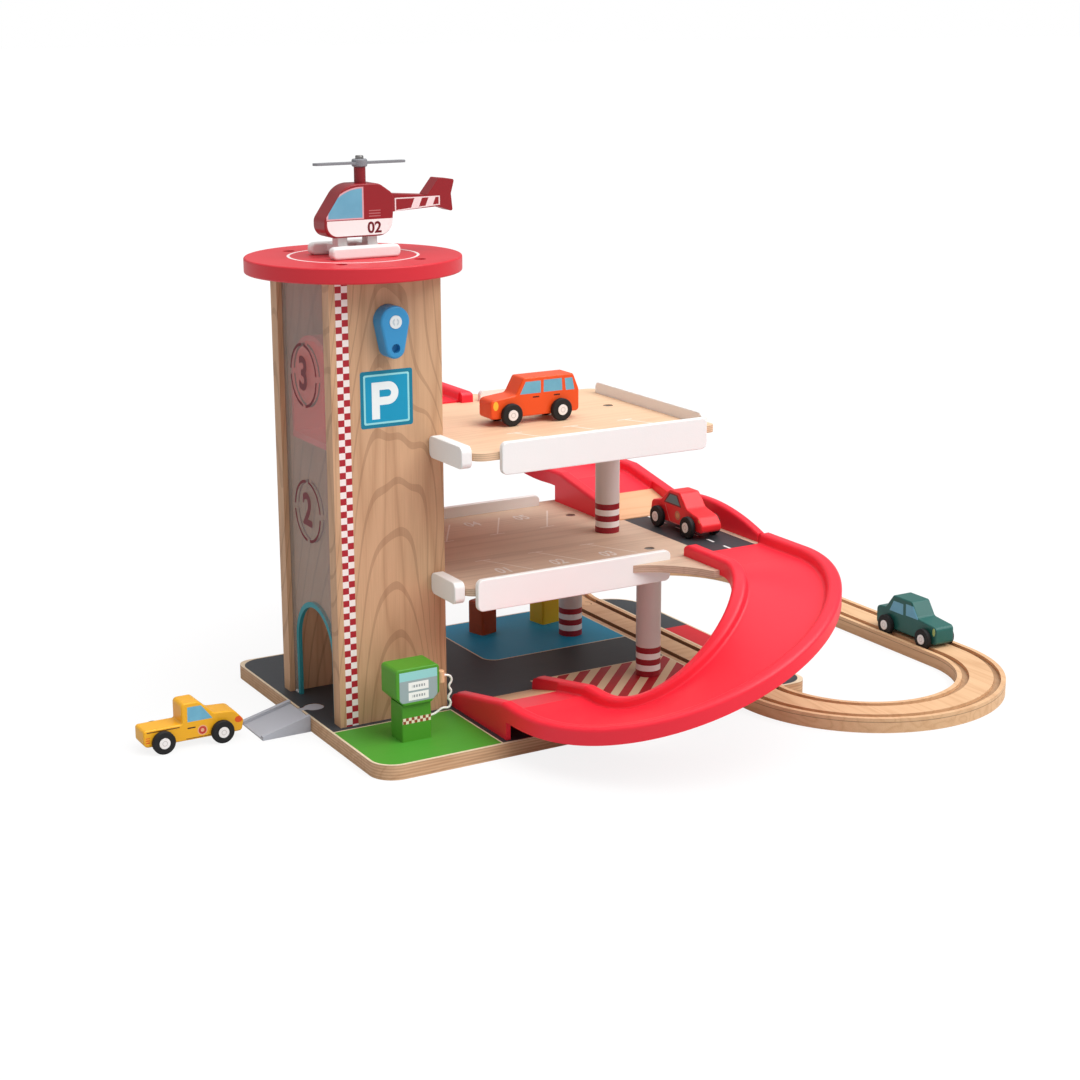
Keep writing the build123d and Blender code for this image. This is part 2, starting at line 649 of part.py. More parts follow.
def pump_stem():
    x0, y0 = pump_x - pump_stem_w / 2, pump_y - pump_stem_d / 2
    stem = slab(x0, x0 + pump_stem_w, y0, y0 + pump_stem_d, ground, ground + pump_stem_h)
    stem = fillet(stem.edges().filter_by(Axis.Z), 1.2)
    return stem - Pos(*hose_low_end) * Rot(0, 90, 0) * Cylinder(hose_r + 0.1, 2 * hose_plug)


def pump_head():
    x0, x1 = pump_x - pump_head_w / 2, pump_x + pump_head_w / 2
    z0 = ground + pump_stem_h
    z1 = z0 + pump_head_h
    points = [(x0 + pump_chamfer, z0), (x1 - pump_chamfer, z0), (x1, z0 + pump_chamfer), (x1, z1),
              (x0, z1), (x0, z0 + pump_chamfer)]
    y0 = pump_y - pump_head_d / 2
    return profile_y(points, [1.5, 1.5, 2, 3, 3, 2], y0, y0 + pump_head_d, 1.0)


nozzle_z0 = ground + pump_stem_h + pump_chamfer + 5.5
nozzle_y = pump_y - pump_head_d / 2 + nozzle_in
nozzle_place = (pump_x + pump_head_w / 2 + nozzle_r + 0.1, nozzle_y, nozzle_z0)


def pump_nozzle():
    """Light wooden peg on the pump head's side, with a blind hole for the hose."""
    x, y, z = nozzle_place
    peg_body = fillet(rod(x, y, z, nozzle_r, nozzle_len).edges().filter_by(GeomType.CIRCLE), 1.0)
    hole = Pos(x + nozzle_r, y, z + nozzle_len - 4.3) * Rot(0, 90, 0) * \
        Cylinder(hose_r + 0.1, 2 * hose_plug)
    return peg_body - hole


hose_plug = 2.0                                    # how deep the hose sits in its two holes
hose_high_end = (nozzle_place[0] + nozzle_r, nozzle_y, nozzle_z0 + nozzle_len - 4.3)
hose_low_end = (pump_x + pump_stem_w / 2, pump_y - 6.0, ground + 16.6)


block_ease = 2.0
orange_block_corner, orange_block_w, orange_block_h, orange_block_turn = (217.6, 243.7), 18.5, 30.0, 17.8
yellow_block_corner, yellow_block_w, yellow_block_h, yellow_block_turn = (279.8, 244.1), 20.0, 27.0, 10.0


def block(corner, width, height, turn_deg):
    """A loose wooden block with eased edges, standing on the board, turned about its corner."""
    body = Pos(width / 2, width / 2, height / 2) * Box(width, width, height)
    rims = body.edges().filter_by(Axis.Z) + body.faces().sort_by(Axis.Z)[-1].edges()
    return Pos(corner[0], corner[1], ground) * Rot(0, 0, turn_deg) * fillet(rims, block_ease)


# ---------------------------------------------------------------- vehicles
wheel_axle_r, axle_run = 1.6, 0.06


def vehicle_body(points, radii, wheel_base):
    """A wooden body in side view, heading +X, with its two axle holes."""
    half = body_w / 2
    body = profile_y(points, radii, -half, half, 1.4)
    for x in (-wheel_base / 2, wheel_base / 2):
        body -= rod_y(x, -half - 1, wheel_r, wheel_axle_r + axle_run, body_w + 2)
    return body


def wheel_set(x):
    """Two wheels pressed onto one axle."""
    parts = rod_y(x, -wheel_track / 2, wheel_r, wheel_axle_r, wheel_track)
    for side in (-1, 1):
        disc = rod_y(x, side * wheel_track / 2 - wheel_t / 2, wheel_r, wheel_r, wheel_t)
        disc = fillet(disc.edges().filter_by(GeomType.CIRCLE), 1.1)
        hub_y = side * (wheel_track / 2 + wheel_t / 2)
        y0 = hub_y - 0.6 if side > 0 else hub_y - 0.5
        parts += disc + rod_y(x, y0, wheel_r, 4.3, 1.1)
    return parts


suv_base, pickup_base, red_car_base, green_car_base = 46.0, 48.0, 46.0, 50.0


def suv_body():
    points = [(-41.5, 6), (40.5, 6), (40.5, 21.5), (17.5, 24), (10, 37.5), (-36, 37.5), (-41.5, 24)]
    return vehicle_body(points, [3, 3, 4, 4, 2.5, 3, 6], suv_base)


def pickup_body():
    points = [(-39, 6), (41, 6), (43, 15), (35, 24), (18, 25), (6, 36.5), (-8, 36.5), (-8, 20),
              (-39, 20)]
    return vehicle_body(points, [4, 3, 4, 6, 6, 4, 3.5, 1.5, 2.5], pickup_base)


def red_car_body():
    points = [(-39, 6.5), (39.5, 6.5), (40, 13), (34, 19.5), (17, 23), (6, 35), (-10, 35), (-23, 24),
              (-37, 21)]
    return vehicle_body(points, [4, 3, 4, 6, 6, 4, 5, 6, 5], red_car_base)


def green_car_body():
    points = [(-42, 6), (38.5, 6), (38.5, 22), (14, 24.5), (5, 37.5), (-20, 37.5), (-30, 24.5),
              (-42, 23)]
    return vehicle_body(points, [4, 3, 4, 4, 3, 3, 5, 4], green_car_base)


def place(piece, x, y, z, heading):
    return Pos(x, y, z) * Rot(0, 0, heading) * piece


def suv(piece):
    return place(piece, 199.0, 126.5, upper_z, 180)


def pickup(piece):
    return place(piece, -93.0, 153.5, 0, 0)


def red_car(piece):
    return place(piece, road_mid + 4.5, 116.0, lower_z, -90)


def green_car(piece):
    return place(piece, loop_right, 47.0, rail_t - groove_deep, -90)


# ---------------------------------------------------------------- helicopter
pad_z = panel_top + helipad_t
heli_y, heli_w = 147.0, 22.0
skid_w, skid_h, skid_reach = 9.0, 9.5, 20.0        # skid bars and their distance from the middle
heli_floor = 15.0                                  # belly over the helipad
mast_r, mast_h, mast_x = 4.5, 12.0, 63.0
rotor_len, rotor_w, rotor_t = 77.0, 8.0, 1.8


def helicopter_body():
    """Flat wooden body with its tail boom and fin in one piece, nose toward -X."""
    z = pad_z + heli_floor
    cabin = [(28, z), (84, z), (87, z + 31), (74, z + 40), (46, z + 40), (28, z + 14)]
    body = profile_y(cabin, [9, 12, 9, 10, 18, 8], heli_y - heli_w / 2, heli_y + heli_w / 2, 1.2)
    boom = [(80, z + 17), (126, z + 19.6), (128, z + 28), (80, z + 31.5)]
    fin = [(126, z + 19.6), (139, z + 15), (137.5, z + 29), (140.5, z + 40), (127, z + 41.5),
           (117, z + 29)]
    tail_w = 14.0
    body += profile_y(boom, 0, heli_y - tail_w / 2, heli_y + tail_w / 2)
    body += profile_y(fin, [0, 1.5, 3, 1.5, 1.5, 0], heli_y - tail_w / 2, heli_y + tail_w / 2)
    return body - rod(mast_x, heli_y, z + 40 - 8, mast_pin_r + 0.05, 9)


mast_pin_r = 2.0


def helicopter_skids():
    """Two white bars and the cross bar that joins them under the belly."""
    parts = None
    for side in (-1, 1):
        y0 = heli_y + side * skid_reach - skid_w / 2
        box = rounded_rect(28, 85, pad_z, pad_z + skid_h)
        bar = profile_y(box, [4, 4, 4, 4], y0, y0 + skid_w, 2.0)
        parts = bar if parts is None else parts + bar
    for x in (45.0, 70.0):
        parts += slab(x - 4, x + 4, heli_y - skid_reach, heli_y + skid_reach, pad_z + 3,
                      pad_z + skid_h - 1)
        parts += slab(x - 4, x + 4, heli_y - 5, heli_y + 5, pad_z + 5, pad_z + heli_floor)
    return parts


def helicopter_mast():
    z = pad_z + heli_floor + 40
    mast = rod(mast_x, heli_y, z, mast_r, mast_h)
    mast += rod(mast_x, heli_y, z - 7, mast_pin_r, 8)
    return mast + rod(mast_x, heli_y, z + mast_h - 1, rotor_pin_r, rotor_hub_h + 2.0)


rotor_hub_h, rotor_hub_r, rotor_pin_r, rotor_play = 6.0, 6.0, 1.8, 0.06


def helicopter_rotor():
    """Two-blade grey rotor that spins on the mast's pin."""
    z = pad_z + heli_floor + 40 + mast_h + 0.2
    hub = fillet(rod(mast_x, heli_y, z, rotor_hub_r, rotor_hub_h).edges()
                 .filter_by(GeomType.CIRCLE), 1.2)
    blade = slab(mast_x - rotor_len / 2, mast_x + rotor_len / 2, heli_y - rotor_w / 2,
                 heli_y + rotor_w / 2, z + 2.0, z + 2.0 + rotor_t)
    blade = fillet(blade.edges().filter_by(Axis.Z), 3.9)
    rotor = hub + blade
    return rotor - rod(mast_x, heli_y, z - 1, rotor_pin_r + rotor_play, rotor_hub_h + 3)


def rotor_cap():
    """Pressed cap that keeps the rotor on its pin."""
    z = pad_z + heli_floor + 40 + mast_h + 0.2 + rotor_hub_h + 0.2
    cap = fillet(rod(mast_x, heli_y, z, 3.2, 2.4).edges().filter_by(GeomType.CIRCLE)
                 .sort_by(Axis.Z)[-1], 1.0)
    return cap - rod(mast_x, heli_y, z - 1, rotor_pin_r, 1 + 0.6)


# ---------------------------------------------------------------- pump hose
def hose_points():
    """Route of the limp hose, with the three small waves that it keeps from its packing."""
    x, y, z = hose_high_end
    end_x, end_y, end_z = hose_low_end
    return [(x - 1.6, y, z), (x + 3.7, y, z), (x + 6.9, y + 0.5, z - 5.2), (x + 3.0, y + 0.9, z - 9.9),
            (x + 6.9, y + 1.3, z - 14.4), (x + 2.6, y + 1.7, z - 19.0), (x + 6.5, y + 2.2, z - 23.4),
            (end_x + 16.9, end_y - 0.9, end_z + 3.3), (end_x + 11.1, end_y - 0.5, end_z + 4.6),
            (end_x + 6.5, end_y, end_z + 1.2), (end_x + 2.4, end_y, end_z),
            (end_x - 1.6, end_y, end_z)]


def bend_radii(points):
    """The largest radius that each corner's two runs leave room for."""
    radii = []
    for before, here, after in zip(points, points[1:], points[2:]):
        arriving, leaving = Vector(*here) - Vector(*before), Vector(*after) - Vector(*here)
        half_turn = radians(arriving.get_angle(leaving)) / 2
        radii.append(0.45 * min(arriving.length, leaving.length) / tan(half_turn))
    return radii


def pump_hose():
    points = hose_points()
    radii = bend_radii(points)
    print("hose bend radii", [round(radius, 1) for radius in radii])
    path = FilletPolyline(*points, radius=radii)
    start = Plane(origin=path @ 0, z_dir=path % 0)
    hose = sweep(start * Circle(hose_r), path=path)
    print("hose length", round(path.length, 1), "volume check",
          round(hose.volume / (pi * hose_r ** 2 * path.length), 4))
    return hose


# ---------------------------------------------------------------- write everything
def main():
    os.makedirs("parts", exist_ok=True)
    save("base_board", base_board())
    save("track_curve_front_left", track_curve(rail_mid + loop_r, 0, 180, "start"))
    save("track_curve_front_right", track_curve(rail_mid + loop_r, 0, 270))
    save("track_straight_right", track_straight(0, base_d))
    save("track_curve_rear_right", track_curve(rail_mid + loop_r, base_d, 0))
    save("track_curve_rear_left", track_curve(rail_mid + loop_r, base_d, 90, "end"))
    save("tower_front_panel", tower_panel(panel_front_y, True))
    save("tower_rear_panel", tower_panel(panel_rear_y, False))
    save("tower_window", tower_window())
    save("lift_guides", lift_guides())
    save("helipad", helipad())
    save("helipad_screws", helipad_screws())
    save("base_screws", base_screws())
    save("lower_deck", lower_deck())
    save("upper_deck", upper_deck())
    save("column_front", column(*base_column_places[0], ground))
    save("column_rear", column(*base_column_places[1], ground))
    save("column_upper", column(*upper_column_place, lower_z))
    save("column_screws", column_screws())
    save("upper_front_fence", fence(*upper_front_fence_box))
    save("upper_left_guard", fence(*upper_left_guard_box))
    save("upper_right_fence", fence(*upper_right_fence_box))
    save("upper_rear_fence", fence(*upper_rear_fence_box))
    save("lower_front_fence", fence(*lower_front_fence_box))
    save("lower_left_guard", fence(*lower_left_guard_box))
    save("lower_rear_fence", fence(*lower_rear_fence_box))
    lead, rest = ramp_lead_in_piece(), ramp_turn_piece() + ramp_run_out_piece()
    save("lower_ramp", (at_lower(lead) - lower_deck_board()) + at_lower(rest))
    save("upper_ramp", (at_upper(lead) - upper_deck_board()) + at_upper(rest))
    save("lower_ramp_wedge", at_lower(end_wedge()))
    save("upper_ramp_wedge", at_upper(end_wedge()))
    save("road_guard", road_guard())
    save("entry_ramp", entry_ramp())
    save("pump_stem", pump_stem())
    save("pump_head", pump_head())
    save("pump_nozzle", pump_nozzle())
    save("pump_hose", pump_hose())
    save("orange_block", block(orange_block_corner, orange_block_w, orange_block_h,
                               orange_block_turn))
    save("yellow_block", block(yellow_block_corner, yellow_block_w, yellow_block_h,
                               yellow_block_turn))
    save("lift_cabin", lift_cabin() + cabin_hook())
    save("lift_cord", lift_cord())
    save("cord_drum", cord_drum())
    save("crank_axle", crank_axle())
    save("crank_handle", crank_handle())
    save("crank_cap", crank_cap())
    save("suv_body", suv(suv_body()))
    save("suv_front_wheels", suv(wheel_set(suv_base / 2)))
    save("suv_rear_wheels", suv(wheel_set(-suv_base / 2)))
    save("pickup_body", pickup(pickup_body()))
    save("pickup_front_wheels", pickup(wheel_set(pickup_base / 2)))
    save("pickup_rear_wheels", pickup(wheel_set(-pickup_base / 2)))
    save("red_car_body", red_car(red_car_body()))
    save("red_car_front_wheels", red_car(wheel_set(red_car_base / 2)))
    save("red_car_rear_wheels", red_car(wheel_set(-red_car_base / 2)))
    save("green_car_body", green_car(green_car_body()))
    save("green_car_front_wheels", green_car(wheel_set(green_car_base / 2)))
    save("green_car_rear_wheels", green_car(wheel_set(-green_car_base / 2)))
    save("helicopter_body", helicopter_body())
    save("helicopter_skids", helicopter_skids() + helicopter_mast())
    save("helicopter_rotor", helicopter_rotor())
    save("rotor_cap", rotor_cap())


main()
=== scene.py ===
import math

import bpy
from mathutils import Matrix, Vector

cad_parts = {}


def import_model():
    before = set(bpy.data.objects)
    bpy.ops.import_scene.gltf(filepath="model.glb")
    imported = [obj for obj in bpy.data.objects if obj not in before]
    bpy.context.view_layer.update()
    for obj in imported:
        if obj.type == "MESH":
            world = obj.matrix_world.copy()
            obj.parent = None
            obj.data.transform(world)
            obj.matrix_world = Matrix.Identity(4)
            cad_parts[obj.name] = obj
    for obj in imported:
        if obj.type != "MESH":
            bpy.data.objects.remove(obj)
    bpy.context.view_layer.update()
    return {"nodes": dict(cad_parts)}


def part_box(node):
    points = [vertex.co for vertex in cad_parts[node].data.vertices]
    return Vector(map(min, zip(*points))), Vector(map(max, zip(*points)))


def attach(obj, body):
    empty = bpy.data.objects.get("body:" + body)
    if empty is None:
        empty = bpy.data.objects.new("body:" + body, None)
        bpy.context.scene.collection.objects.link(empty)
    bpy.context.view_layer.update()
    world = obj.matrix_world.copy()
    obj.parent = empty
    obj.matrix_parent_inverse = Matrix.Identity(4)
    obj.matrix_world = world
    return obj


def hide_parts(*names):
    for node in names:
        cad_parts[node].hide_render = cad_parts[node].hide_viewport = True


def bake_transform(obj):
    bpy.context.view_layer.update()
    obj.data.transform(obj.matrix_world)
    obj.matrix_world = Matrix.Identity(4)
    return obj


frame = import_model()
nodes = frame["nodes"]
bpy.ops.object.select_all(action="DESELECT")

# ---- Base board
# A plywood board, painted on top in charcoal, green, blue and red with thin bare lines between.
# A strip of bare wood with two milled grooves crosses it, so that toy trains can pass.
board_w, board_d = 395.0, 288.0
corner_r, rear_right_corner_r = 20.0, 35.0
board_ply, paint_from_z = 2.4, 11.5
strip_left, strip_right = 327.4, 367.4
green_right, green_rear = 103.0, 87.0
blue_left, blue_front, blue_corner_r = 187.0, 178.0, 12.0
hatch_left, hatch_rear, stripe_pitch = 193.0, 115.0, 21.0
red_front, red_rear = 45.0, 179.0


def world(x, y, z):
    """Millimetres from the board's front left bottom corner, as metres in the world frame."""
    return ((x - board_w / 2) / 1000, (y - board_d / 2) / 1000, z / 1000)


def rgb(r, g, b):
    """A colour as it is read off a screen, 0 to 255."""
    def linear(c):
        return c / 12.92 if c <= 0.04045 else ((c + 0.055) / 1.055) ** 2.4
    return (linear(r / 255), linear(g / 255), linear(b / 255), 1.0)


class Val:
    """A number or a colour inside a finish, so that shader maths reads as plain sums."""

    def __init__(self, finish, socket):
        self.finish = finish
        self.socket = socket

    def math(self, operation, *values):
        inputs = {i: value for i, value in enumerate(values)}
        return self.finish.node("ShaderNodeMath", {"operation": operation}, inputs)

    def __add__(self, other):
        return self.math("ADD", self, other)

    def __sub__(self, other):
        return self.math("SUBTRACT", self, other)

    def __mul__(self, other):
        return self.math("MULTIPLY", self, other)

    def __truediv__(self, other):
        return self.math("DIVIDE", self, other)

    def __mod__(self, other):
        return self.math("FLOORED_MODULO", self, other)

    def __pow__(self, other):
        return self.math("POWER", self, other)

    def __gt__(self, other):
        return self.math("GREATER_THAN", self, other)

    def __lt__(self, other):
        return self.math("LESS_THAN", self, other)

    def __abs__(self):
        return self.math("ABSOLUTE", self)

    def __radd__(self, other):
        return self.math("ADD", other, self)

    def __rsub__(self, other):
        return self.math("SUBTRACT", other, self)

    def __rmul__(self, other):
        return self.math("MULTIPLY", other, self)

    def floor(self):
        return self.math("FLOOR", self)

    def most(self, other):
        return self.math("MAXIMUM", self, other)

    def least(self, other):
        return self.math("MINIMUM", self, other)

    def between(self, low, high):
        return (self > low) * (self < high)


class Finish:
    """A material whose x, y and z run in millimetres from the board's front left bottom corner."""

    def __init__(self, name, settings=None):
        self.material = bpy.data.materials.new(name)
        self.material.use_nodes = True
        self.tree = self.material.node_tree
        self.shader = self.tree.nodes["Principled BSDF"]
        settings = {"Specular IOR Level": 0.35, **(settings or {})}
        for key, value in settings.items():
            self.shader.inputs[key].default_value = value
        place = self.node("ShaderNodeTexCoord", {}, {}, "Object")
        self.x = self.part(place, 0) * 1000 + board_w / 2
        self.y = self.part(place, 1) * 1000 + board_d / 2
        self.z = self.part(place, 2) * 1000

    def node(self, kind, settings, inputs, output=0):
        made = self.tree.nodes.new(kind)
        for key, value in settings.items():
            setattr(made, key, value)
        for key, value in inputs.items():
            if isinstance(value, Val):
                self.tree.links.new(value.socket, made.inputs[key])
            else:
                made.inputs[key].default_value = value
        return Val(self, made.outputs[output])

    def part(self, vector, axis):
        return self.node("ShaderNodeSeparateXYZ", {}, {0: vector}, axis)

    def mix(self, share, first, second):
        inputs = {0: share, 6: first, 7: second}
        return self.node("ShaderNodeMix", {"data_type": "RGBA"}, inputs, 2)

    def noise(self, sx, sy, sz, detail=3.0, shift=0.0):
        """Soft noise whose patches are about sx by sy by sz millimetres."""
        inputs = {0: self.x / sx + shift, 1: self.y / sy, 2: self.z / sz}
        vector = self.node("ShaderNodeCombineXYZ", {}, inputs)
        inputs = {"Vector": vector, "Scale": 1.0, "Detail": detail, "Roughness": 0.55}
        return self.node("ShaderNodeTexNoise", {}, inputs)

    def put(self, value, name):
        self.tree.links.new(value.socket, self.shader.inputs[name])

    def colour(self, value):
        self.put(value, "Base Color")

    def rough(self, value):
        self.put(value, "Roughness")

    def bump(self, height, depth_mm):
        inputs = {"Height": height, "Strength": 1.0, "Distance": depth_mm / 1000}
        self.put(self.node("ShaderNodeBump", {}, inputs), "Normal")


def give(finish, *names):
    """Puts a finish on CAD nodes."""
    for name in names:
        mesh = nodes[name].data
        mesh.materials.clear()
        mesh.materials.append(finish.material)


def wood_grain(finish, along, pale, dark, lines=9.0, shift=0.0, contrast=1.0):
    """Wood colour and grain: wavy growth lines that run along one axis, and fine pores."""
    size = {"x": (420, 26, 26), "y": (26, 420, 26), "z": (30, 30, 460)}[along]
    fine = {"x": (40, 1.1, 1.1), "y": (1.1, 40, 1.1), "z": (1.1, 1.1, 40)}[along]
    figure = finish.noise(*size, detail=1.5, shift=shift)
    rings = abs((figure * lines) % 1.0 - 0.5) * 2.0
    pores = finish.noise(*fine, detail=2.0, shift=shift + 3.0)
    broad = finish.noise(90, 70, 110, detail=1.0, shift=shift + 7.0)
    share = (rings ** 2.5) * 0.32 + pores * 0.42 + broad * 0.42
    share = ((share - 0.5) * contrast + 0.42).most(0.0).least(1.0)
    return finish.mix(share, pale, dark), pores


def dark_plies(depth, ply, start):
    """Every second half of a ply's thickness, as it shows on a cut edge of plywood."""
    return ((depth / ply) % 1.0).between(start, start + 0.5)


def line_at(value, at, width):
    """A printed line, width wide, where value is at."""
    return abs(value - at) < width / 2


def length(across, up):
    return (across * across + up * up) ** 0.5


charcoal = rgb(58, 62, 66)
ply_gap = rgb(128, 88, 60)

board = Finish("painted_base_board")
x, y, z = board.x, board.y, board.z
wood, pores = wood_grain(board, "x", rgb(224, 186, 148), rgb(182, 136, 98), shift=11.0)
layers = dark_plies(z, board_ply, 0.42) * (z < 11.6)
wood = board.mix(layers * 0.35, wood, rgb(150, 104, 70))
wear = board.noise(46, 46, 20, detail=2.0)
paint = board.mix(wear, charcoal, rgb(52, 56, 61))
green_paint = board.mix(wear, rgb(74, 152, 46), rgb(68, 143, 42))
paint = board.mix((x < green_right) * (y < green_rear), paint, green_paint)
blue_area = x.between(blue_left, strip_left - 0.4) * (y > blue_front)
from_blue_corner = length((blue_left + blue_corner_r - x).most(0.0),
                          (blue_front + blue_corner_r - y).most(0.0))
blue_paint = board.mix(wear, rgb(0, 158, 204), rgb(0, 147, 191))
paint = board.mix(blue_area * (from_blue_corner < blue_corner_r), paint, blue_paint)
hatch = x.between(hatch_left, strip_left - 0.4) * (y < hatch_rear)
stripes = ((x - y) / stripe_pitch) % 1.0 < 0.52
hatch_paint = board.mix(stripes, rgb(224, 196, 160), rgb(176, 18, 30))
paint = board.mix(hatch, paint, hatch_paint)
red_area = (x > strip_right - 0.4) * y.between(red_front, red_rear)
paint = board.mix(red_area, paint, rgb(206, 14, 32))
lines = line_at(x, green_right + 0.6, 1.3) * (y < green_rear + 1.0)
lines = lines.most(line_at(y, green_rear + 0.6, 1.3) * (x < green_right + 1.0))
lines = lines.most(line_at(x, strip_left - 0.8, 1.6))
lines = lines.most(line_at(x, strip_right + 0.8, 1.6))
lines = lines.most(line_at(y, hatch_rear + 0.6, 1.2) * x.between(hatch_left, strip_left - 0.4))
blue_line = abs(from_blue_corner - blue_corner_r).between(-1.0, 0.7) * (y > blue_front - 2.0)
lines = lines.most(blue_line * x.between(blue_left - 2.0, strip_left - 0.4))
r = corner_r + (rear_right_corner_r - corner_r) * (x > 200) * (y > board_d / 2)
rim = length((abs(x - board_w / 2) - board_w / 2 + r).most(0.0),
             (abs(y - board_d / 2) - board_d / 2 + r).most(0.0)) - r
lines = lines.most(rim > -1.7)
paint = board.mix(lines, paint, rgb(226, 206, 176))
strip = x.between(strip_left, strip_right)
grooves = z.between(8.5, 11.9) * strip
paint = board.mix(strip, paint, wood)
# Painted shade: the grooves' walls and floors are mixed halfway toward dark brown, for the shade inside
# them.
paint = board.mix(grooves, paint, board.mix(grooves * 0.55, wood, rgb(84, 52, 34)))
board.colour(board.mix((z > paint_from_z).most(grooves), wood, paint))
painted = (z > paint_from_z) * (1.0 - strip)
board.rough(0.52 - painted * 0.08 + pores * 0.1)
board.bump(pores * (1.0 - painted * 0.7), 0.12)
give(board, "base_board")

# ---- Train track loop
# Four curves and one straight of solid beech, 40 mm wide with two grooves. Round pegs join the
# loop to the board's strip. The faces are sanded and left bare; the groove floors are painted
# darker brown, as painted shade.
track = Finish("beech_track")
wood, pores = wood_grain(track, "y", rgb(232, 192, 150), rgb(196, 150, 108), shift=5.0)
groove_floor = track.z.between(8.6, 9.3)
# Painted shade: the groove floors are mixed halfway toward dark brown.
track.colour(track.mix(groove_floor * 0.5, wood, rgb(96, 62, 40)))
track.rough(0.5 + pores * 0.12)
track.bump(pores, 0.12)
give(track, "track_curve_front_left", "track_curve_front_right", "track_straight_right",
     "track_curve_rear_right", "track_curve_rear_left")

# ---- Lift tower sides
# Two plywood panels with clear lacquer. The front one has a printed red and white chequer strip
# and a printed teal parking sign; both are thin inks, so they are only a colour on the wood.
front_panel_y, rear_panel_y, panel_ply = 93.4, 193.0, 2.4
strip_x, square = 15.4, 5.05
sign_x, sign_z, sign_half = 56.0, 268.9, 22.0


def plywood_panel(name, shift):
    """Lacquered plywood whose face shows the arches of a plain-sawn board."""
    finish = Finish(name)
    wood, pores = wood_grain(finish, "z", rgb(224, 181, 144), rgb(168, 124, 90), lines=7.0, shift=shift)
    wander = finish.noise(70, 70, 210, detail=1.5, shift=shift + 9.0)
    heart = finish.x - 62.0 + (wander - 0.5) * 46.0
    arches = (heart * heart * 0.0021 + finish.z * 0.021 + wander * 2.6) % 1.0
    finish.rough(0.46 + pores * 0.1)
    finish.bump(pores, 0.1)
    return finish, finish.mix(arches.between(0.0, 0.16) * 0.3, wood, ply_gap)


def soft_square(u, v, half, radius):
    """How far a point lies outside a square with rounded corners; below zero is inside."""
    return length((abs(u) - half + radius).most(0.0), (abs(v) - half + radius).most(0.0)) - radius


def letter_p(u, w):
    """The parking sign's letter: a post, two arms and a half ring."""
    post = u.between(-12.4, -5.9) * w.between(-15.3, 13.1)
    arms = u.between(-6.0, 1.2) * (w.between(7.0, 13.1).most(w.between(-4.6, 1.6)))
    bowl = length(u - 1.1, w - 4.3).between(2.7, 8.85) * (u > 1.1)
    return post.most(arms).most(bowl)


panel, wood = plywood_panel("front_panel", 2.0)
x, y, z = panel.x, panel.y, panel.z
face = y < front_panel_y + 0.2
cut_edge = dark_plies(y - front_panel_y, panel_ply, 0.45) * (1.0 - face)
wood = panel.mix(cut_edge * 0.3, wood, ply_gap)
chequer = (((x - strip_x) / square).floor() + ((z - 8.3) / square).floor()) % 2.0 > 0.5
chequer_ink = panel.mix(chequer, rgb(172, 32, 44), rgb(244, 232, 228))
wood = panel.mix(x.between(strip_x, strip_x + 2 * square) * face, wood, chequer_ink)
u, w = x - sign_x, z - sign_z
field = soft_square(u, w, sign_half - 2.8, 1.5) < 0
pale_line = field - (soft_square(u, w, sign_half - 4.3, 1.0) < 0)
ink = panel.mix(field, rgb(8, 122, 150), rgb(6, 150, 190))
ink = panel.mix(pale_line, ink, rgb(150, 218, 224))
ink = panel.mix(letter_p(u, w), ink, rgb(238, 244, 245))
wood = panel.mix((soft_square(u, w, sign_half, 2.0) < 0) * face, wood, ink)
panel.colour(wood)
give(panel, "tower_front_panel")

back_panel, wood = plywood_panel("rear_panel", 14.0)
y = back_panel.y
cut_edge = dark_plies(y - rear_panel_y, panel_ply, 0.45) * y.between(193.3, 204.8)
back_panel.colour(back_panel.mix(cut_edge * 0.3, wood, ply_gap))
give(back_panel, "tower_rear_panel")

# ---- Tower window
# A clear acrylic sheet slid into grooves of the two panels, so the lift can be seen. Level digits
# in dashed rings are printed in dark red, and a teal line runs round the arched doorway.
window_face_x, digit_y = 14.7, 155.9
ring_y, ring_in, ring_out, dash_gap = 155.5, 22.9, 25.2, 2.2
level_marks = (("level_two_digit", "2", 172.2), ("level_three_digit", "3", 280.8))
door_y, door_spring_z, door_line_r = 149.2, 61.0, 37.2
to_the_left = Matrix(((0, 0, -1, 0), (-1, 0, 0, 0), (0, 1, 0, 0), (0, 0, 0, 1)))

window = Finish("clear_sheet", {"Specular IOR Level": 0.06})
y, z = window.y, window.z
rings = 0.0 * y
for name, text, level in level_marks:
    away = length(y - ring_y, z - level)
    dashes = abs(y - ring_y).least(abs(z - level)) > dash_gap
    rings = rings.most(away.between(ring_in, ring_out) * dashes)
arch = (length(y - door_y, z - door_spring_z) < door_line_r) * (z > door_spring_z - 0.1)
posts = (abs(y - door_y) < door_line_r) * (z < door_spring_z)
door_line = arch.most(posts)
tint = window.mix(rings, rgb(196, 186, 178), rgb(104, 10, 24))
window.colour(window.mix(door_line, tint, rgb(58, 140, 150)))
window.put(0.3 + 0.7 * rings.most(door_line), "Alpha")
window.rough(0.14 + window.noise(22, 22, 22, detail=2.0) * 0.12)
give(window, "tower_window")

digit_ink = Finish("digit_ink", {"Roughness": 0.5})
digit_ink.colour(digit_ink.mix(digit_ink.noise(3, 3, 3), rgb(112, 10, 26), rgb(102, 8, 22)))


def printed_text(name, text, lettering, place, facing, finish):
    """Digits as a thin flat print; lettering is their size, thickness and boldness in metres."""
    bpy.ops.object.text_add(location=(0, 0, 0))
    curve = bpy.context.object.data
    curve.body = text
    curve.size, curve.extrude, curve.offset = lettering
    curve.align_x = "CENTER"
    curve.align_y = "CENTER"
    bpy.ops.object.convert(target="MESH")
    flat = bpy.context.object
    flat.name = name
    flat.data.transform(Matrix.Translation(world(*place)) @ facing)
    flat.data.materials.append(finish.material)
    flat.select_set(False)
    return flat


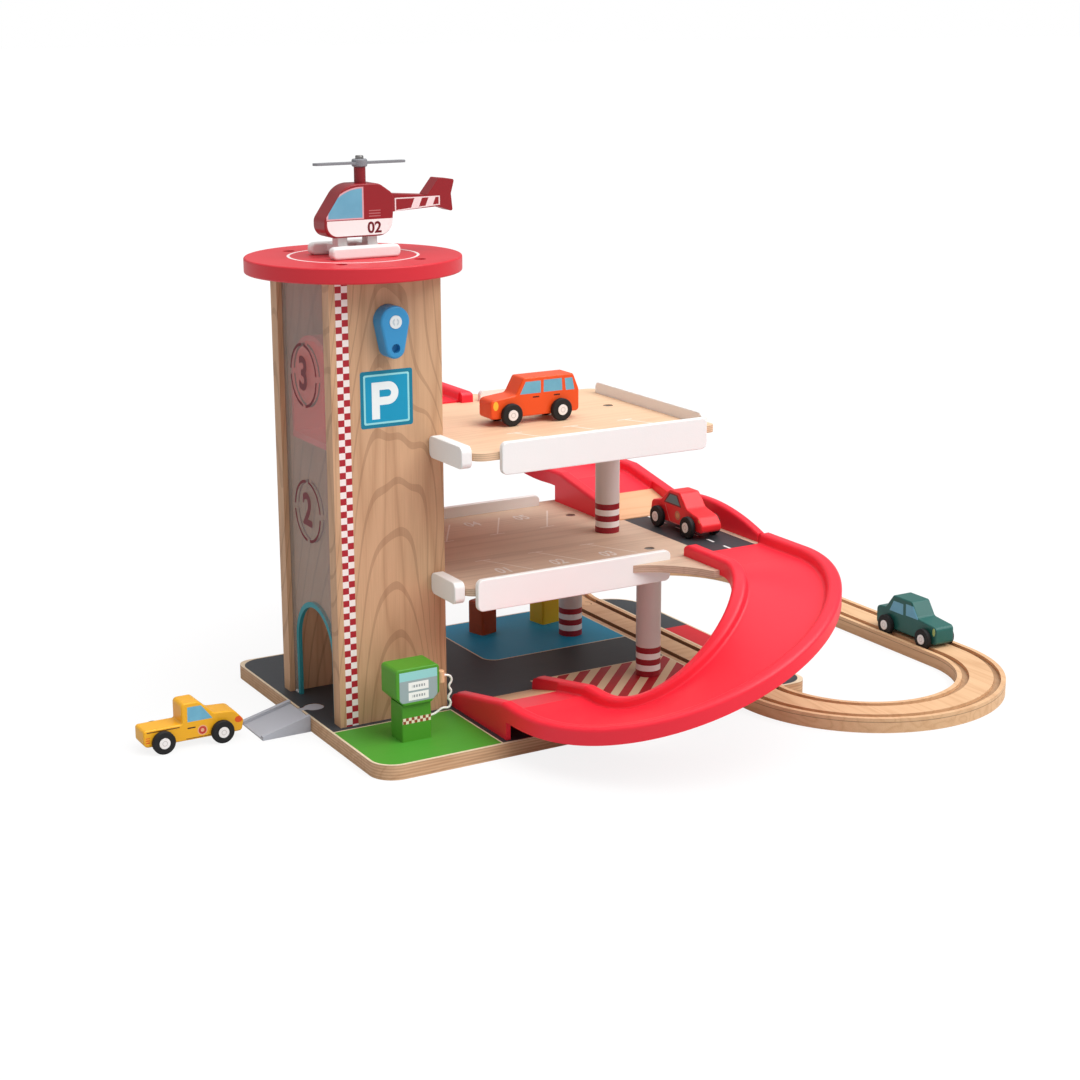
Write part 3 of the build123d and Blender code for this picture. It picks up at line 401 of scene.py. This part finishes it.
for name, text, level in level_marks:
    digit = printed_text(name, text, (0.036, 0.0001, 0.0009), (window_face_x, digit_y, level),
                         to_the_left, digit_ink)
    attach(digit, "garage")

# ---- Helipad
# A turned disc of plywood, sprayed red all over, with a white landing ring, screwed down by
# four recessed steel screws that bite into the panels' top edges.
pad_x, pad_y, pad_top_z = 56.85, 149.2, 372.0
landing_ring = (48.8, 51.0)


def satin_paint(name, colour, spread=0.06, roughness=0.38):
    """Sprayed satin paint on wood: nearly even, with a faint mottle and a little orange peel."""
    finish = Finish(name)
    darker = tuple(c * (1 - spread) for c in colour[:3]) + (1.0,)
    mottle = finish.noise(34, 34, 34, detail=2.0)
    finish.paint = finish.mix(mottle, colour, darker)
    finish.colour(finish.paint)
    finish.rough(roughness + mottle * 0.08)
    finish.bump(finish.noise(1.6, 1.6, 1.6, detail=1.0), 0.05)
    return finish


pad = satin_paint("red_helipad_paint", rgb(214, 42, 54))
white_ring = length(pad.x - pad_x, pad.y - pad_y).between(*landing_ring) * (pad.z > pad_top_z - 1.0)
pad.colour(pad.mix(white_ring, pad.paint, rgb(244, 232, 230)))
give(pad, "helipad")
steel = Finish("zinc_steel", {"Metallic": 1.0})
brushed = steel.noise(0.6, 8, 0.6, detail=2.0)
steel.colour(steel.mix(brushed, rgb(170, 168, 166), rgb(120, 118, 118)))
steel.rough(0.28 + brushed * 0.2)
give(steel, "helipad_screws", "base_screws", "column_screws", "crank_axle", "rotor_cap")

# ---- Lift
# A moulded red tunnel for one car, hung on a braided cord that winds on a white drum.
# Beech strips glued in the shaft guide it, and a blue moulded crank turns the drum.
crank_x, crank_z = 58.0, 329.0
cord_r = 0.0008


def moulded_plastic(name, colour, roughness=0.32):
    """Injection-moulded plastic: an even colour under a very fine matt texture."""
    finish = Finish(name)
    darker = tuple(c * 0.95 for c in colour[:3]) + (1.0,)
    flow = finish.noise(60, 60, 60, detail=2.0)
    grit = finish.noise(0.7, 0.7, 0.7, detail=1.0)
    finish.paint = finish.mix(flow, colour, darker)
    finish.colour(finish.paint)
    finish.rough(roughness + grit * 0.1)
    finish.bump(grit, 0.02)
    return finish


give(moulded_plastic("red_moulded_plastic", rgb(246, 40, 60)),
     "lift_cabin", "lower_ramp", "upper_ramp", "road_guard")
give(moulded_plastic("blue_moulded_plastic", rgb(56, 146, 200)), "crank_handle")
give(moulded_plastic("white_moulded_plastic", rgb(240, 240, 240)), "cord_drum")
cap = moulded_plastic("crank_cap_plastic", rgb(226, 232, 234))
away = length(cap.x - crank_x, cap.z - crank_z)
faint_marks = away.between(1.4, 2.8) * (abs(cap.x - crank_x) > 0.8)
cap.colour(cap.mix(faint_marks * 0.5, cap.paint, rgb(150, 172, 184)))
give(cap, "crank_cap")

guide_wood = Finish("guide_strip_wood", {"Roughness": 0.55})
wood, pores = wood_grain(guide_wood, "z", rgb(226, 186, 146), rgb(190, 146, 106))
guide_wood.colour(wood)
guide_wood.bump(pores, 0.1)
give(guide_wood, "lift_guides")

braid = Finish("braided_cord", {"Roughness": 0.8})
weave = (braid.z * 1.6 + braid.x * 1.1) % 1.0
braid.colour(braid.mix(weave, rgb(236, 234, 226), rgb(196, 192, 184)))
braid.bump(weave, 0.1)
low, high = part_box("lift_cord")
middle = [(a + b) / 2 for a, b in zip(low, high)]
bpy.ops.mesh.primitive_cylinder_add(vertices=24, radius=cord_r, depth=high[2] - low[2],
                                    location=middle)
hoist = bpy.context.object
hoist.name = "hoist_cord"
bpy.ops.object.mode_set(mode="EDIT")
bpy.ops.mesh.select_all(action="SELECT")
bpy.ops.mesh.subdivide(number_cuts=3)
bpy.ops.object.mode_set(mode="OBJECT")
bpy.ops.object.transform_apply(location=True, rotation=True, scale=True)
bpy.ops.object.shade_smooth_by_angle(angle=math.radians(40))
hoist.data.materials.append(braid.material)
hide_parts("lift_cord")
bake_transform(hoist)
hoist.select_set(False)

# ---- Decks
# Two plywood decks with clear lacquer. Parking bays are printed in thin white lines, and the
# lower deck has a charcoal road with dashes that leads from one ramp to the next.
lower_deck_z, upper_deck_z = 121.5, 231.0
road_x, road_half_w, dash_from_y, dash_pitch = 345.5, 25.5, 47.0, 24.0
bay_line_w, bay_bar = 1.3, 14.0


def deck_wood(name, shift, pale, dark, top):
    finish = Finish(name)
    wood, pores = wood_grain(finish, "x", pale, dark, lines=7.0, shift=shift, contrast=0.8)
    rim = dark_plies(finish.z - top, 1.6, 0.4) * finish.z.between(top - 5.8, top - 0.3)
    finish.rough(0.42 + pores * 0.1)
    finish.bump(pores, 0.08)
    return finish, finish.mix(rim * 0.3, wood, rgb(132, 92, 62))


def line_between(finish, start, end, width):
    """One printed line between two points of a deck."""
    long = math.dist(start, end)
    ax, ay = (end[0] - start[0]) / long, (end[1] - start[1]) / long
    dx, dy = finish.x - start[0], finish.y - start[1]
    run = dx * ax + dy * ay
    return (abs(dx * ay - dy * ax) < width / 2) * run.between(0.0, long)


def bay_lines(finish, first, step, count, lean):
    """Slanting lines of parking bays, each with a short cross bar at its inner end."""
    printed = finish.x * 0.0
    for i in range(count):
        at = (first[0] + i * step, first[1])
        outer = (at[0] + lean[0], at[1] + lean[1])
        printed = printed.most(line_between(finish, at, outer, bay_line_w))
        left, right = (at[0] - bay_bar / 2, at[1]), (at[0] + bay_bar / 2, at[1])
        printed = printed.most(line_between(finish, left, right, bay_line_w))
    return printed


# Painted shade: the lower deck's wood tones are darker and greyer than the upper deck's, for the shade
# under the upper deck.
lower, wood = deck_wood("lower_deck_ply", 21.0, rgb(228, 202, 178), rgb(178, 150, 128), lower_deck_z)
x, y = lower.x, lower.y
top = lower.z > lower_deck_z - 0.3
bays = bay_lines(lower, (152.8, 186.4), 49.0, 3, (28.3, 48.6))
bays = bays.most(bay_lines(lower, (151.3, 119.3), 49.3, 3, (22.4, -43.0)))
wood = lower.mix(bays * top * 0.8, wood, rgb(236, 226, 218))
road = (abs(x - road_x) < road_half_w) * (y < 175) * top
dashes = line_at(x, road_x, 2.2) * (((y - dash_from_y) / dash_pitch) % 1.0 < 0.42)
road_ink = lower.mix(dashes * (y > dash_from_y - 1.0), charcoal, rgb(232, 232, 230))
lower.colour(lower.mix(road, wood, road_ink))
give(lower, "lower_deck")

upper, wood = deck_wood("upper_deck_ply", 33.0, rgb(242, 208, 174), rgb(212, 172, 136), upper_deck_z)
top = upper.z > upper_deck_z - 0.3
bays = bay_lines(upper, (165.0, 90.0), 51.5, 3, (22.0, -44.0))
upper.colour(upper.mix(bays * top * 0.8, wood, rgb(248, 242, 236)))
give(upper, "upper_deck")

# ---- Bay numbers
# Small white numbers screen-printed on the lower deck, each beside a parking bay. They are
# half as tall again as plain digits, like the numbers on a real car park's floor.
bay_numbers = (("bay_one", "01", 152.0, 84.5), ("bay_two", "02", 202.0, 84.0),
               ("bay_three", "03", 249.5, 84.5), ("bay_four", "04", 199.0, 226.0),
               ("bay_five", "05", 247.0, 224.5))
number_ink = Finish("number_ink", {"Roughness": 0.5})
number_ink.colour(number_ink.mix(number_ink.noise(2, 2, 2), rgb(238, 230, 224), rgb(222, 212, 204)))
for name, text, number_x, number_y in bay_numbers:
    number = printed_text(name, text, (0.0135, 0.00006, 0.0002),
                          (number_x, number_y, lower_deck_z + 0.06),
                          Matrix.Diagonal((1.0, 1.5, 1.0, 1.0)), number_ink)
    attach(number, "garage")

# ---- Columns
# Turned posts sprayed warm grey, each with three red and two white warning bands at its foot.
# Screws through the boards hold both of their ends.
band_h, band_count = 5.1, 5


def banded_post(name, foot):
    finish = satin_paint(name, rgb(216, 205, 201), spread=0.05)
    up = finish.z - foot
    banded = up < band_h * band_count
    red = (up / band_h) % 2.0 < 1.0
    bands = finish.mix(red, rgb(240, 234, 232), rgb(150, 28, 40))
    finish.colour(finish.mix(banded, finish.paint, bands))
    return finish


give(banded_post("banded_post_ground", 12.0), "column_front", "column_rear")
give(banded_post("banded_post_upper", lower_deck_z), "column_upper")

# ---- Fences
# White boards with rounded corners, sprayed and glued to the decks' edges or slotted through
# them, so that cars can't roll off.
give(satin_paint("white_fence_paint", rgb(244, 243, 241), spread=0.03),
     "upper_front_fence", "upper_left_guard", "upper_right_fence", "upper_rear_fence",
     "lower_front_fence", "lower_left_guard", "lower_rear_fence")

# ---- Ramp wedges
# Pale beech wedges laid between the curbs at each ramp's foot, so that cars roll off smoothly.
# The fuel pump's nozzle is a peg of the same wood.
wedge = Finish("wedge_wood", {"Roughness": 0.5})
wood, pores = wood_grain(wedge, "x", rgb(232, 186, 146), rgb(206, 156, 114), lines=6.0, shift=4.0)
wedge.colour(wood)
wedge.bump(pores, 0.08)
give(wedge, "lower_ramp_wedge", "upper_ramp_wedge", "pump_nozzle")

# ---- Entry ramp
# A small grey moulded ramp, hooked by its round tab into a pocket of the base board, so that
# cars can drive up to the lift's door.
give(moulded_plastic("grey_moulded_plastic", rgb(184, 186, 194), roughness=0.42), "entry_ramp")

# ---- Fuel pump
# Two sprayed wooden blocks, green, with a printed display, a chequer band and a white hose
# that runs from a wooden nozzle back into the pump's foot.
green = rgb(76, 150, 38)
cell, band_z = 2.4, (26.4, 31.2)
display_x, display_z, header_z = (34.5, 66.5), (44.5, 62.0), (62.0, 69.0)
readout_x, readout_rows = (42.0, 59.0), ((46.0, 52.3), (53.8, 60.3))

stem = satin_paint("green_stem_paint", green)
chequer = ((stem.x / cell).floor() + (stem.z / cell).floor()) % 2.0 > 0.5
band = stem.z.between(*band_z) * (stem.y < 40.2)
chequer_ink = stem.mix(chequer, rgb(236, 226, 200), rgb(150, 70, 44))
stem.colour(stem.mix(band, stem.paint, chequer_ink))
give(stem, "pump_stem")

head = satin_paint("green_head_paint", green)
x, z = head.x, head.z
front = (head.y < 37.2) * x.between(*display_x)
colour = head.mix(front * z.between(*display_z), head.paint, rgb(152, 170, 172))
colour = head.mix(front * z.between(*header_z), colour, rgb(148, 210, 208))
for row in readout_rows:
    colour = head.mix(front * x.between(*readout_x) * z.between(*row), colour, rgb(240, 242, 238))
for row_z in (49.2, 57.0):
    figures = line_at(z, row_z, 2.0) * x.between(45, 56) * ((x / 2.2) % 1.0 < 0.6)
    colour = head.mix(front * figures, colour, rgb(150, 158, 160))
head.colour(colour)
give(head, "pump_head")

hose_exit, hose_length, hose_r = (74.7, 40.5, 60.2), 0.0551, 0.0009
hose_points = [(73.1, 40.5, 60.2), (78.4, 40.5, 60.2), (81.6, 41.0, 55.0), (77.7, 41.4, 50.3),
               (81.6, 41.8, 45.8), (77.3, 42.2, 41.2), (81.2, 42.7, 36.8), (79.4, 43.1, 31.9),
               (73.6, 43.5, 33.2), (69.0, 44.0, 29.8), (64.9, 44.0, 28.6), (60.9, 44.0, 28.6)]
hose_curve = bpy.data.curves.new("pump_hose_line", "CURVE")
hose_curve.dimensions = "3D"
spline = hose_curve.splines.new("NURBS")
spline.points.add(len(hose_points) - 1)
for point, route_point in zip(spline.points, hose_points):
    point.co = (*world(*route_point), 1.0)
spline.order_u = 3
spline.use_endpoint_u = True
spline.resolution_u = 24
hose_curve.bevel_depth = hose_r
hose_curve.bevel_resolution = 5
hose_curve.use_fill_caps = True
hose = bpy.data.objects.new("white_hose", hose_curve)
bpy.context.scene.collection.objects.link(hose)
hose_finish = moulded_plastic("white_hose_vinyl", rgb(240, 238, 232), roughness=0.45)
hose_curve.materials.append(hose_finish.material)
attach(hose, "garage")
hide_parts("pump_hose")

# ---- Building blocks
# Two plain wooden blocks, sprayed orange-brown and yellow. They stand turned a little on the
# blue bay, with nothing to fix them.
give(satin_paint("brown_block_paint", rgb(168, 66, 22)), "orange_block")
give(satin_paint("yellow_block_paint", rgb(222, 178, 22)), "yellow_block")

# ---- Toy cars
# Each is one block of wood cut in side view, sprayed and printed with windows and lamps, on
# two steel axles with black wheels that have white hubs.
wheel_r, hub_r, flank = 9.2, 4.35, 9.7
cars = {"suv": ((199.0, 126.5, 231.0), 180, 46.0), "pickup": ((-93.0, 153.5, 0.0), 0, 48.0),
        "red_car": ((346.5, 116.0, 121.5), -90, 46.0), "green_car": ((549.4, 47.0, 9.0), -90, 50.0)}
glass_blue, glass_edge = rgb(122, 186, 210), rgb(96, 160, 190)


def car_paint(material_name, colour, car):
    """Car paint; u runs forward from the middle of the wheels, w up, in millimetres."""
    middle, heading, wheel_base = cars[car]
    finish = satin_paint(material_name, colour, spread=0.05, roughness=0.3)
    turn = math.radians(heading)
    dx, dy = finish.x - middle[0], finish.y - middle[1]
    finish.u = dx * math.cos(turn) + dy * math.sin(turn)
    finish.w = finish.z - middle[2]
    finish.side = abs(dy * math.cos(turn) - dx * math.sin(turn)) > flank
    return finish


def pane(finish, back_low, back_high, front_low, front_high, low, high):
    """A side window between two slanting posts, from height low to height high."""
    rise = (finish.w - low) / (high - low)
    back = rise * (back_high - back_low) + back_low
    front = rise * (front_high - front_low) + front_low
    shape = (finish.u > back) * (finish.u < front) * finish.w.between(low, high)
    return shape * finish.side


def bar(finish, back, front, low, high):
    return finish.side * finish.u.between(back, front) * finish.w.between(low, high)


def oval(finish, u, w, half_u, half_w):
    inside = ((finish.u - u) / half_u) ** 2.0 + ((finish.w - w) / half_w) ** 2.0 < 1.0
    return finish.side * inside


def with_windows(finish, *shapes):
    """The car's paint with its side windows printed on it."""
    glass = finish.x * 0.0
    for shape in shapes:
        glass = glass.most(pane(finish, *shape))
    tone = finish.mix(finish.noise(9, 9, 9), glass_blue, glass_edge)
    return finish.mix(glass, finish.paint, tone)


suv = car_paint("orange_car_paint", rgb(238, 84, 30), "suv")
colour = with_windows(suv, (-5.4, -5.4, 13.8, 8.6, 24.3, 34.2), (-25.6, -25.1, -8.0, -8.2, 24.4, 34.4),
                      (-37.0, -35.0, -28.9, -27.8, 24.1, 34.0))
colour = suv.mix(oval(suv, 36.0, 17.0, 2.3, 3.7), colour, rgb(246, 190, 60))
handles = bar(suv, -4.0, 2.0, 20.6, 21.8).most(bar(suv, -23.3, -17.6, 20.6, 21.8))
suv.colour(suv.mix(handles, colour, rgb(84, 24, 18)))
give(suv, "suv_body")

pickup = car_paint("yellow_car_paint", rgb(242, 176, 34), "pickup")
colour = with_windows(pickup, (-3.4, -3.2, 17.0, 8.0, 21.0, 33.0))
colour = pickup.mix(oval(pickup, 8.5, 12.6, 4.0, 4.0), colour, rgb(232, 170, 130))
red_ring = oval(pickup, 8.5, 12.6, 3.2, 3.2) - oval(pickup, 8.5, 12.6, 1.5, 1.5)
colour = pickup.mix(red_ring, colour, rgb(196, 60, 48))
bed_line, sill_line = bar(pickup, -36.4, -10.0, 17.6, 18.5), bar(pickup, -5.0, 14.8, 7.2, 7.8)
colour = pickup.mix(bed_line.most(sill_line), colour, rgb(110, 66, 24))
colour = pickup.mix(bar(pickup, -3.6, 2.9, 15.4, 16.5), colour, rgb(64, 36, 24))
tail_lamp = bar(pickup, -37.5, -34.0, 9.0, 14.0) * ((pickup.w / 1.9) % 1.0 < 0.5)
lamps = oval(pickup, 38.5, 16.0, 3.4, 2.6).most(tail_lamp)
pickup.colour(pickup.mix(lamps, colour, rgb(226, 88, 30)))
give(pickup, "pickup_body")

coupe = car_paint("red_car_paint", rgb(238, 40, 48), "red_car")
window_rim = pane(coupe, -17.5, -9.2, 9.2, 3.2, 22.6, 32.5)
colour = coupe.mix(window_rim, coupe.paint, rgb(112, 30, 36))
colour = coupe.mix(pane(coupe, -15.1, -7.7, 7.0, 1.6, 23.8, 31.4), colour, rgb(98, 138, 146))
colour = coupe.mix(oval(coupe, 3.6, 15.0, 4.0, 4.0), colour, rgb(206, 122, 96))
colour = coupe.mix(oval(coupe, 3.6, 15.0, 2.2, 2.2), colour, rgb(224, 160, 110))
trim = bar(coupe, -8.0, 12.0, 6.9, 7.8).most(pane(coupe, -8.4, -16.0, -7.4, -15.0, 7.8, 21.0))
colour = coupe.mix(trim, colour, rgb(232, 128, 128))
coupe.colour(coupe.mix(oval(coupe, 36.2, 17.0, 1.7, 1.7), colour, rgb(236, 150, 100)))
give(coupe, "red_car_body")

saloon = car_paint("green_car_paint", rgb(36, 96, 90), "green_car")
colour = with_windows(saloon, (-2.0, -2.4, 14.6, 8.8, 23.3, 33.8),
                      (-24.2, -18.9, -5.6, -6.0, 22.6, 32.6))
saloon.colour(saloon.mix(oval(saloon, 35.6, 17.6, 1.7, 3.6), colour, rgb(176, 198, 120)))
give(saloon, "green_car_body")


def wheel_finish(name, axle, heading):
    """Black paint with a white printed hub, measured from the wheels' axle."""
    finish = Finish(name)
    flat = (finish.y - axle[1]) if heading == -90 else (finish.x - axle[0])
    away = length(flat, finish.z - axle[2])
    scuff = finish.noise(2.4, 2.4, 2.4)
    black = finish.mix(scuff, rgb(20, 20, 22), rgb(32, 31, 32))
    hub = finish.mix(away.between(1.6, 2.2), rgb(238, 234, 232), rgb(206, 200, 198))
    finish.colour(finish.mix(away < hub_r, black, hub))
    finish.rough(0.58 - (away < hub_r) * 0.2 + scuff * 0.12)
    finish.bump(scuff, 0.04)
    return finish


for car, (middle, heading, wheel_base) in cars.items():
    turn = math.radians(heading)
    for end, ahead in (("front", wheel_base / 2), ("rear", -wheel_base / 2)):
        axle = (middle[0] + ahead * math.cos(turn), middle[1] + ahead * math.sin(turn),
                middle[2] + wheel_r)
        give(wheel_finish(car + "_" + end + "_wheel_finish", axle, heading),
             car + "_" + end + "_wheels")

# ---- Helicopter
# A flat wooden body in dark red with a printed window, a white belly and a striped boom, on
# white skids; the grey moulded rotor turns on the mast under a pressed cap.
craft_y, boom_from_x, sill_z = 147.0, 87.0, 400.0
belly_x, belly_half, belly_r, belly_low_z = 57.6, 27.7, 9.0, 388.2
glass_x, glass_a, glass_b = 59.0, 29.6, 24.6
frame_left, frame_right, frame_top, frame_low, frame_slope = 88.8, 127.8, 414.8, 404.5, 0.082
mast_low, mast_high = 426.5, 439.2
to_the_front = Matrix(((1, 0, 0, 0), (0, 0, -1, 0), (0, 1, 0, 0), (0, 0, 0, 1)))

craft = satin_paint("dark_red_craft_paint", rgb(152, 30, 38), spread=0.05, roughness=0.32)
x, y, z = craft.x, craft.y, craft.z
side = abs(y - craft_y) > 10.4
belly = length((abs(x - belly_x) - belly_half + belly_r).most(0.0),
               (belly_low_z + belly_r - z).most(0.0)) < belly_r
colour = craft.mix(side * belly * (z < sill_z), craft.paint, rgb(248, 243, 241))
quarter = length((x - glass_x) / glass_a, (z - sill_z - 0.3) / glass_b)
glass_rim = side * (x < 60.6) * (z > sill_z + 0.6) * (quarter < 1.0)
glass = glass_rim * (quarter < 0.955) * (x < 59.4) * (z > sill_z + 1.6)
tone = craft.mix(craft.noise(12, 12, 12), glass_blue, glass_edge)
colour = craft.mix(glass_rim, colour, rgb(226, 170, 176))
colour = craft.mix(glass, colour, tone)
slots = x.between(64.9, 74.6) * z.between(402, 408) * (((z - 402.0) / 2.1) % 1.0 < 0.36)
colour = craft.mix(side * slots, colour, rgb(186, 110, 112))
boom_side = (abs(y - craft_y) > 6.5) * (x > boom_from_x)
low_line = (x - frame_left) * frame_slope + frame_low
box = x.between(frame_left, frame_right) * (z < frame_top) * (z > low_line)
inner = x.between(frame_left + 1.1, frame_right - 1.1) * (z < frame_top - 0.9) * (z > low_line + 0.9)
slant = x - (z - 405.8) * 0.42
stripes = slant.between(102.3, 108.9).most(slant.between(114.5, 120.6))
colour = craft.mix(boom_side * box * ((1.0 - inner).most(stripes)), colour, rgb(246, 226, 226))
craft.colour(colour)
give(craft, "helicopter_body")
skids = satin_paint("white_skid_paint", rgb(244, 242, 240), spread=0.03)
skids.colour(skids.mix(skids.z.between(mast_low, mast_high), skids.paint, rgb(140, 30, 38)))
give(skids, "helicopter_skids")
give(moulded_plastic("grey_rotor_plastic", rgb(138, 139, 144), roughness=0.36), "helicopter_rotor")
number = printed_text("craft_number", "02", (0.0118, 0.00008, 0.0003), (69.3, 135.95, 393.4),
                      to_the_front, digit_ink)
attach(number, "helicopter")

# ---- Studio
# A plain floor under soft light: a broad key from the front right, one from above, and an even
# white surround. The camera sees the floor lit up to near white, with faint shadows on it; to
# the object it is a mid grey, so that it throws little light back.
floor_seen_white, floor_grey = 0.75, 0.54
bpy.ops.mesh.primitive_plane_add(size=60, location=(0, 0, 0))
floor = bpy.context.object
floor.name = "studio_floor"
floor_finish = bpy.data.materials.new("studio_floor")
floor_finish.use_nodes = True
tree = floor_finish.node_tree
shader = tree.nodes["Principled BSDF"]
shader.inputs["Base Color"].default_value = (floor_grey, floor_grey, floor_grey, 1.0)
shader.inputs["Roughness"].default_value = 0.95
shader.inputs["Specular IOR Level"].default_value = 0.1
glow = tree.nodes.new("ShaderNodeEmission")
glow.inputs["Strength"].default_value = 1.14
seen = tree.nodes.new("ShaderNodeLightPath")
share = tree.nodes.new("ShaderNodeMath")
share.operation = "MULTIPLY"
share.inputs[1].default_value = floor_seen_white
blend = tree.nodes.new("ShaderNodeMixShader")
tree.links.new(seen.outputs["Is Camera Ray"], share.inputs[0])
tree.links.new(share.outputs[0], blend.inputs[0])
tree.links.new(shader.outputs[0], blend.inputs[1])
tree.links.new(glow.outputs[0], blend.inputs[2])
tree.links.new(blend.outputs[0], tree.nodes["Material Output"].inputs["Surface"])
floor.data.materials.append(floor_finish)
floor.select_set(False)

world_air = bpy.data.worlds.new("studio_air")
bpy.context.scene.world = world_air
world_air.use_nodes = True
air = world_air.node_tree
background = air.nodes["Background"]
path = air.nodes.new("ShaderNodeLightPath")
strength = air.nodes.new("ShaderNodeMix")
strength.inputs[2].default_value = 0.46
strength.inputs[3].default_value = 1.0
air.links.new(path.outputs["Is Camera Ray"], strength.inputs[0])
air.links.new(strength.outputs[0], background.inputs["Strength"])
background.inputs["Color"].default_value = (1.0, 1.0, 1.0, 1.0)


def broad_sun(name, toward, energy, spread):
    """A soft far lamp that shines from the direction toward."""
    data = bpy.data.lights.new(name, "SUN")
    data.energy = energy
    data.angle = math.radians(spread)
    lamp = bpy.data.objects.new(name, data)
    bpy.context.scene.collection.objects.link(lamp)
    lamp.rotation_euler = Vector(toward).to_track_quat("Z", "Y").to_euler()


broad_sun("key_light", (0.38, -0.48, 0.79), 2.5, 55)
broad_sun("top_light", (0.1, 0.05, 1.0), 1.2, 70)

# ---- Camera
# Its place is an estimate of the photographer's, fitted to the edges of the board, its grooves
# and the tower. The picture is square, and its optical centre lies a little beside the middle.
picture, focal, sensor = 1080, 1977.1, 36.0
optical_centre = (543.7, 504.7)
eye = (-581.1, -1243.3, 553.7)
turn, pitch, roll = math.radians(30.13), math.radians(14.01), math.radians(0.15)
camera_data = bpy.data.cameras.new("camera")
camera = bpy.data.objects.new("camera", camera_data)
bpy.context.scene.collection.objects.link(camera)
bpy.context.scene.camera = camera
camera_data.sensor_width = sensor
camera_data.lens = sensor * focal / picture
camera_data.shift_x = -(optical_centre[0] - picture / 2) / picture
camera_data.shift_y = (optical_centre[1] - picture / 2) / picture
camera.location = world(*eye)
camera.rotation_euler = (math.pi / 2 - pitch, roll, -turn)
bpy.context.scene.view_settings.view_transform = "Standard"

bpy.context.view_layer.update()
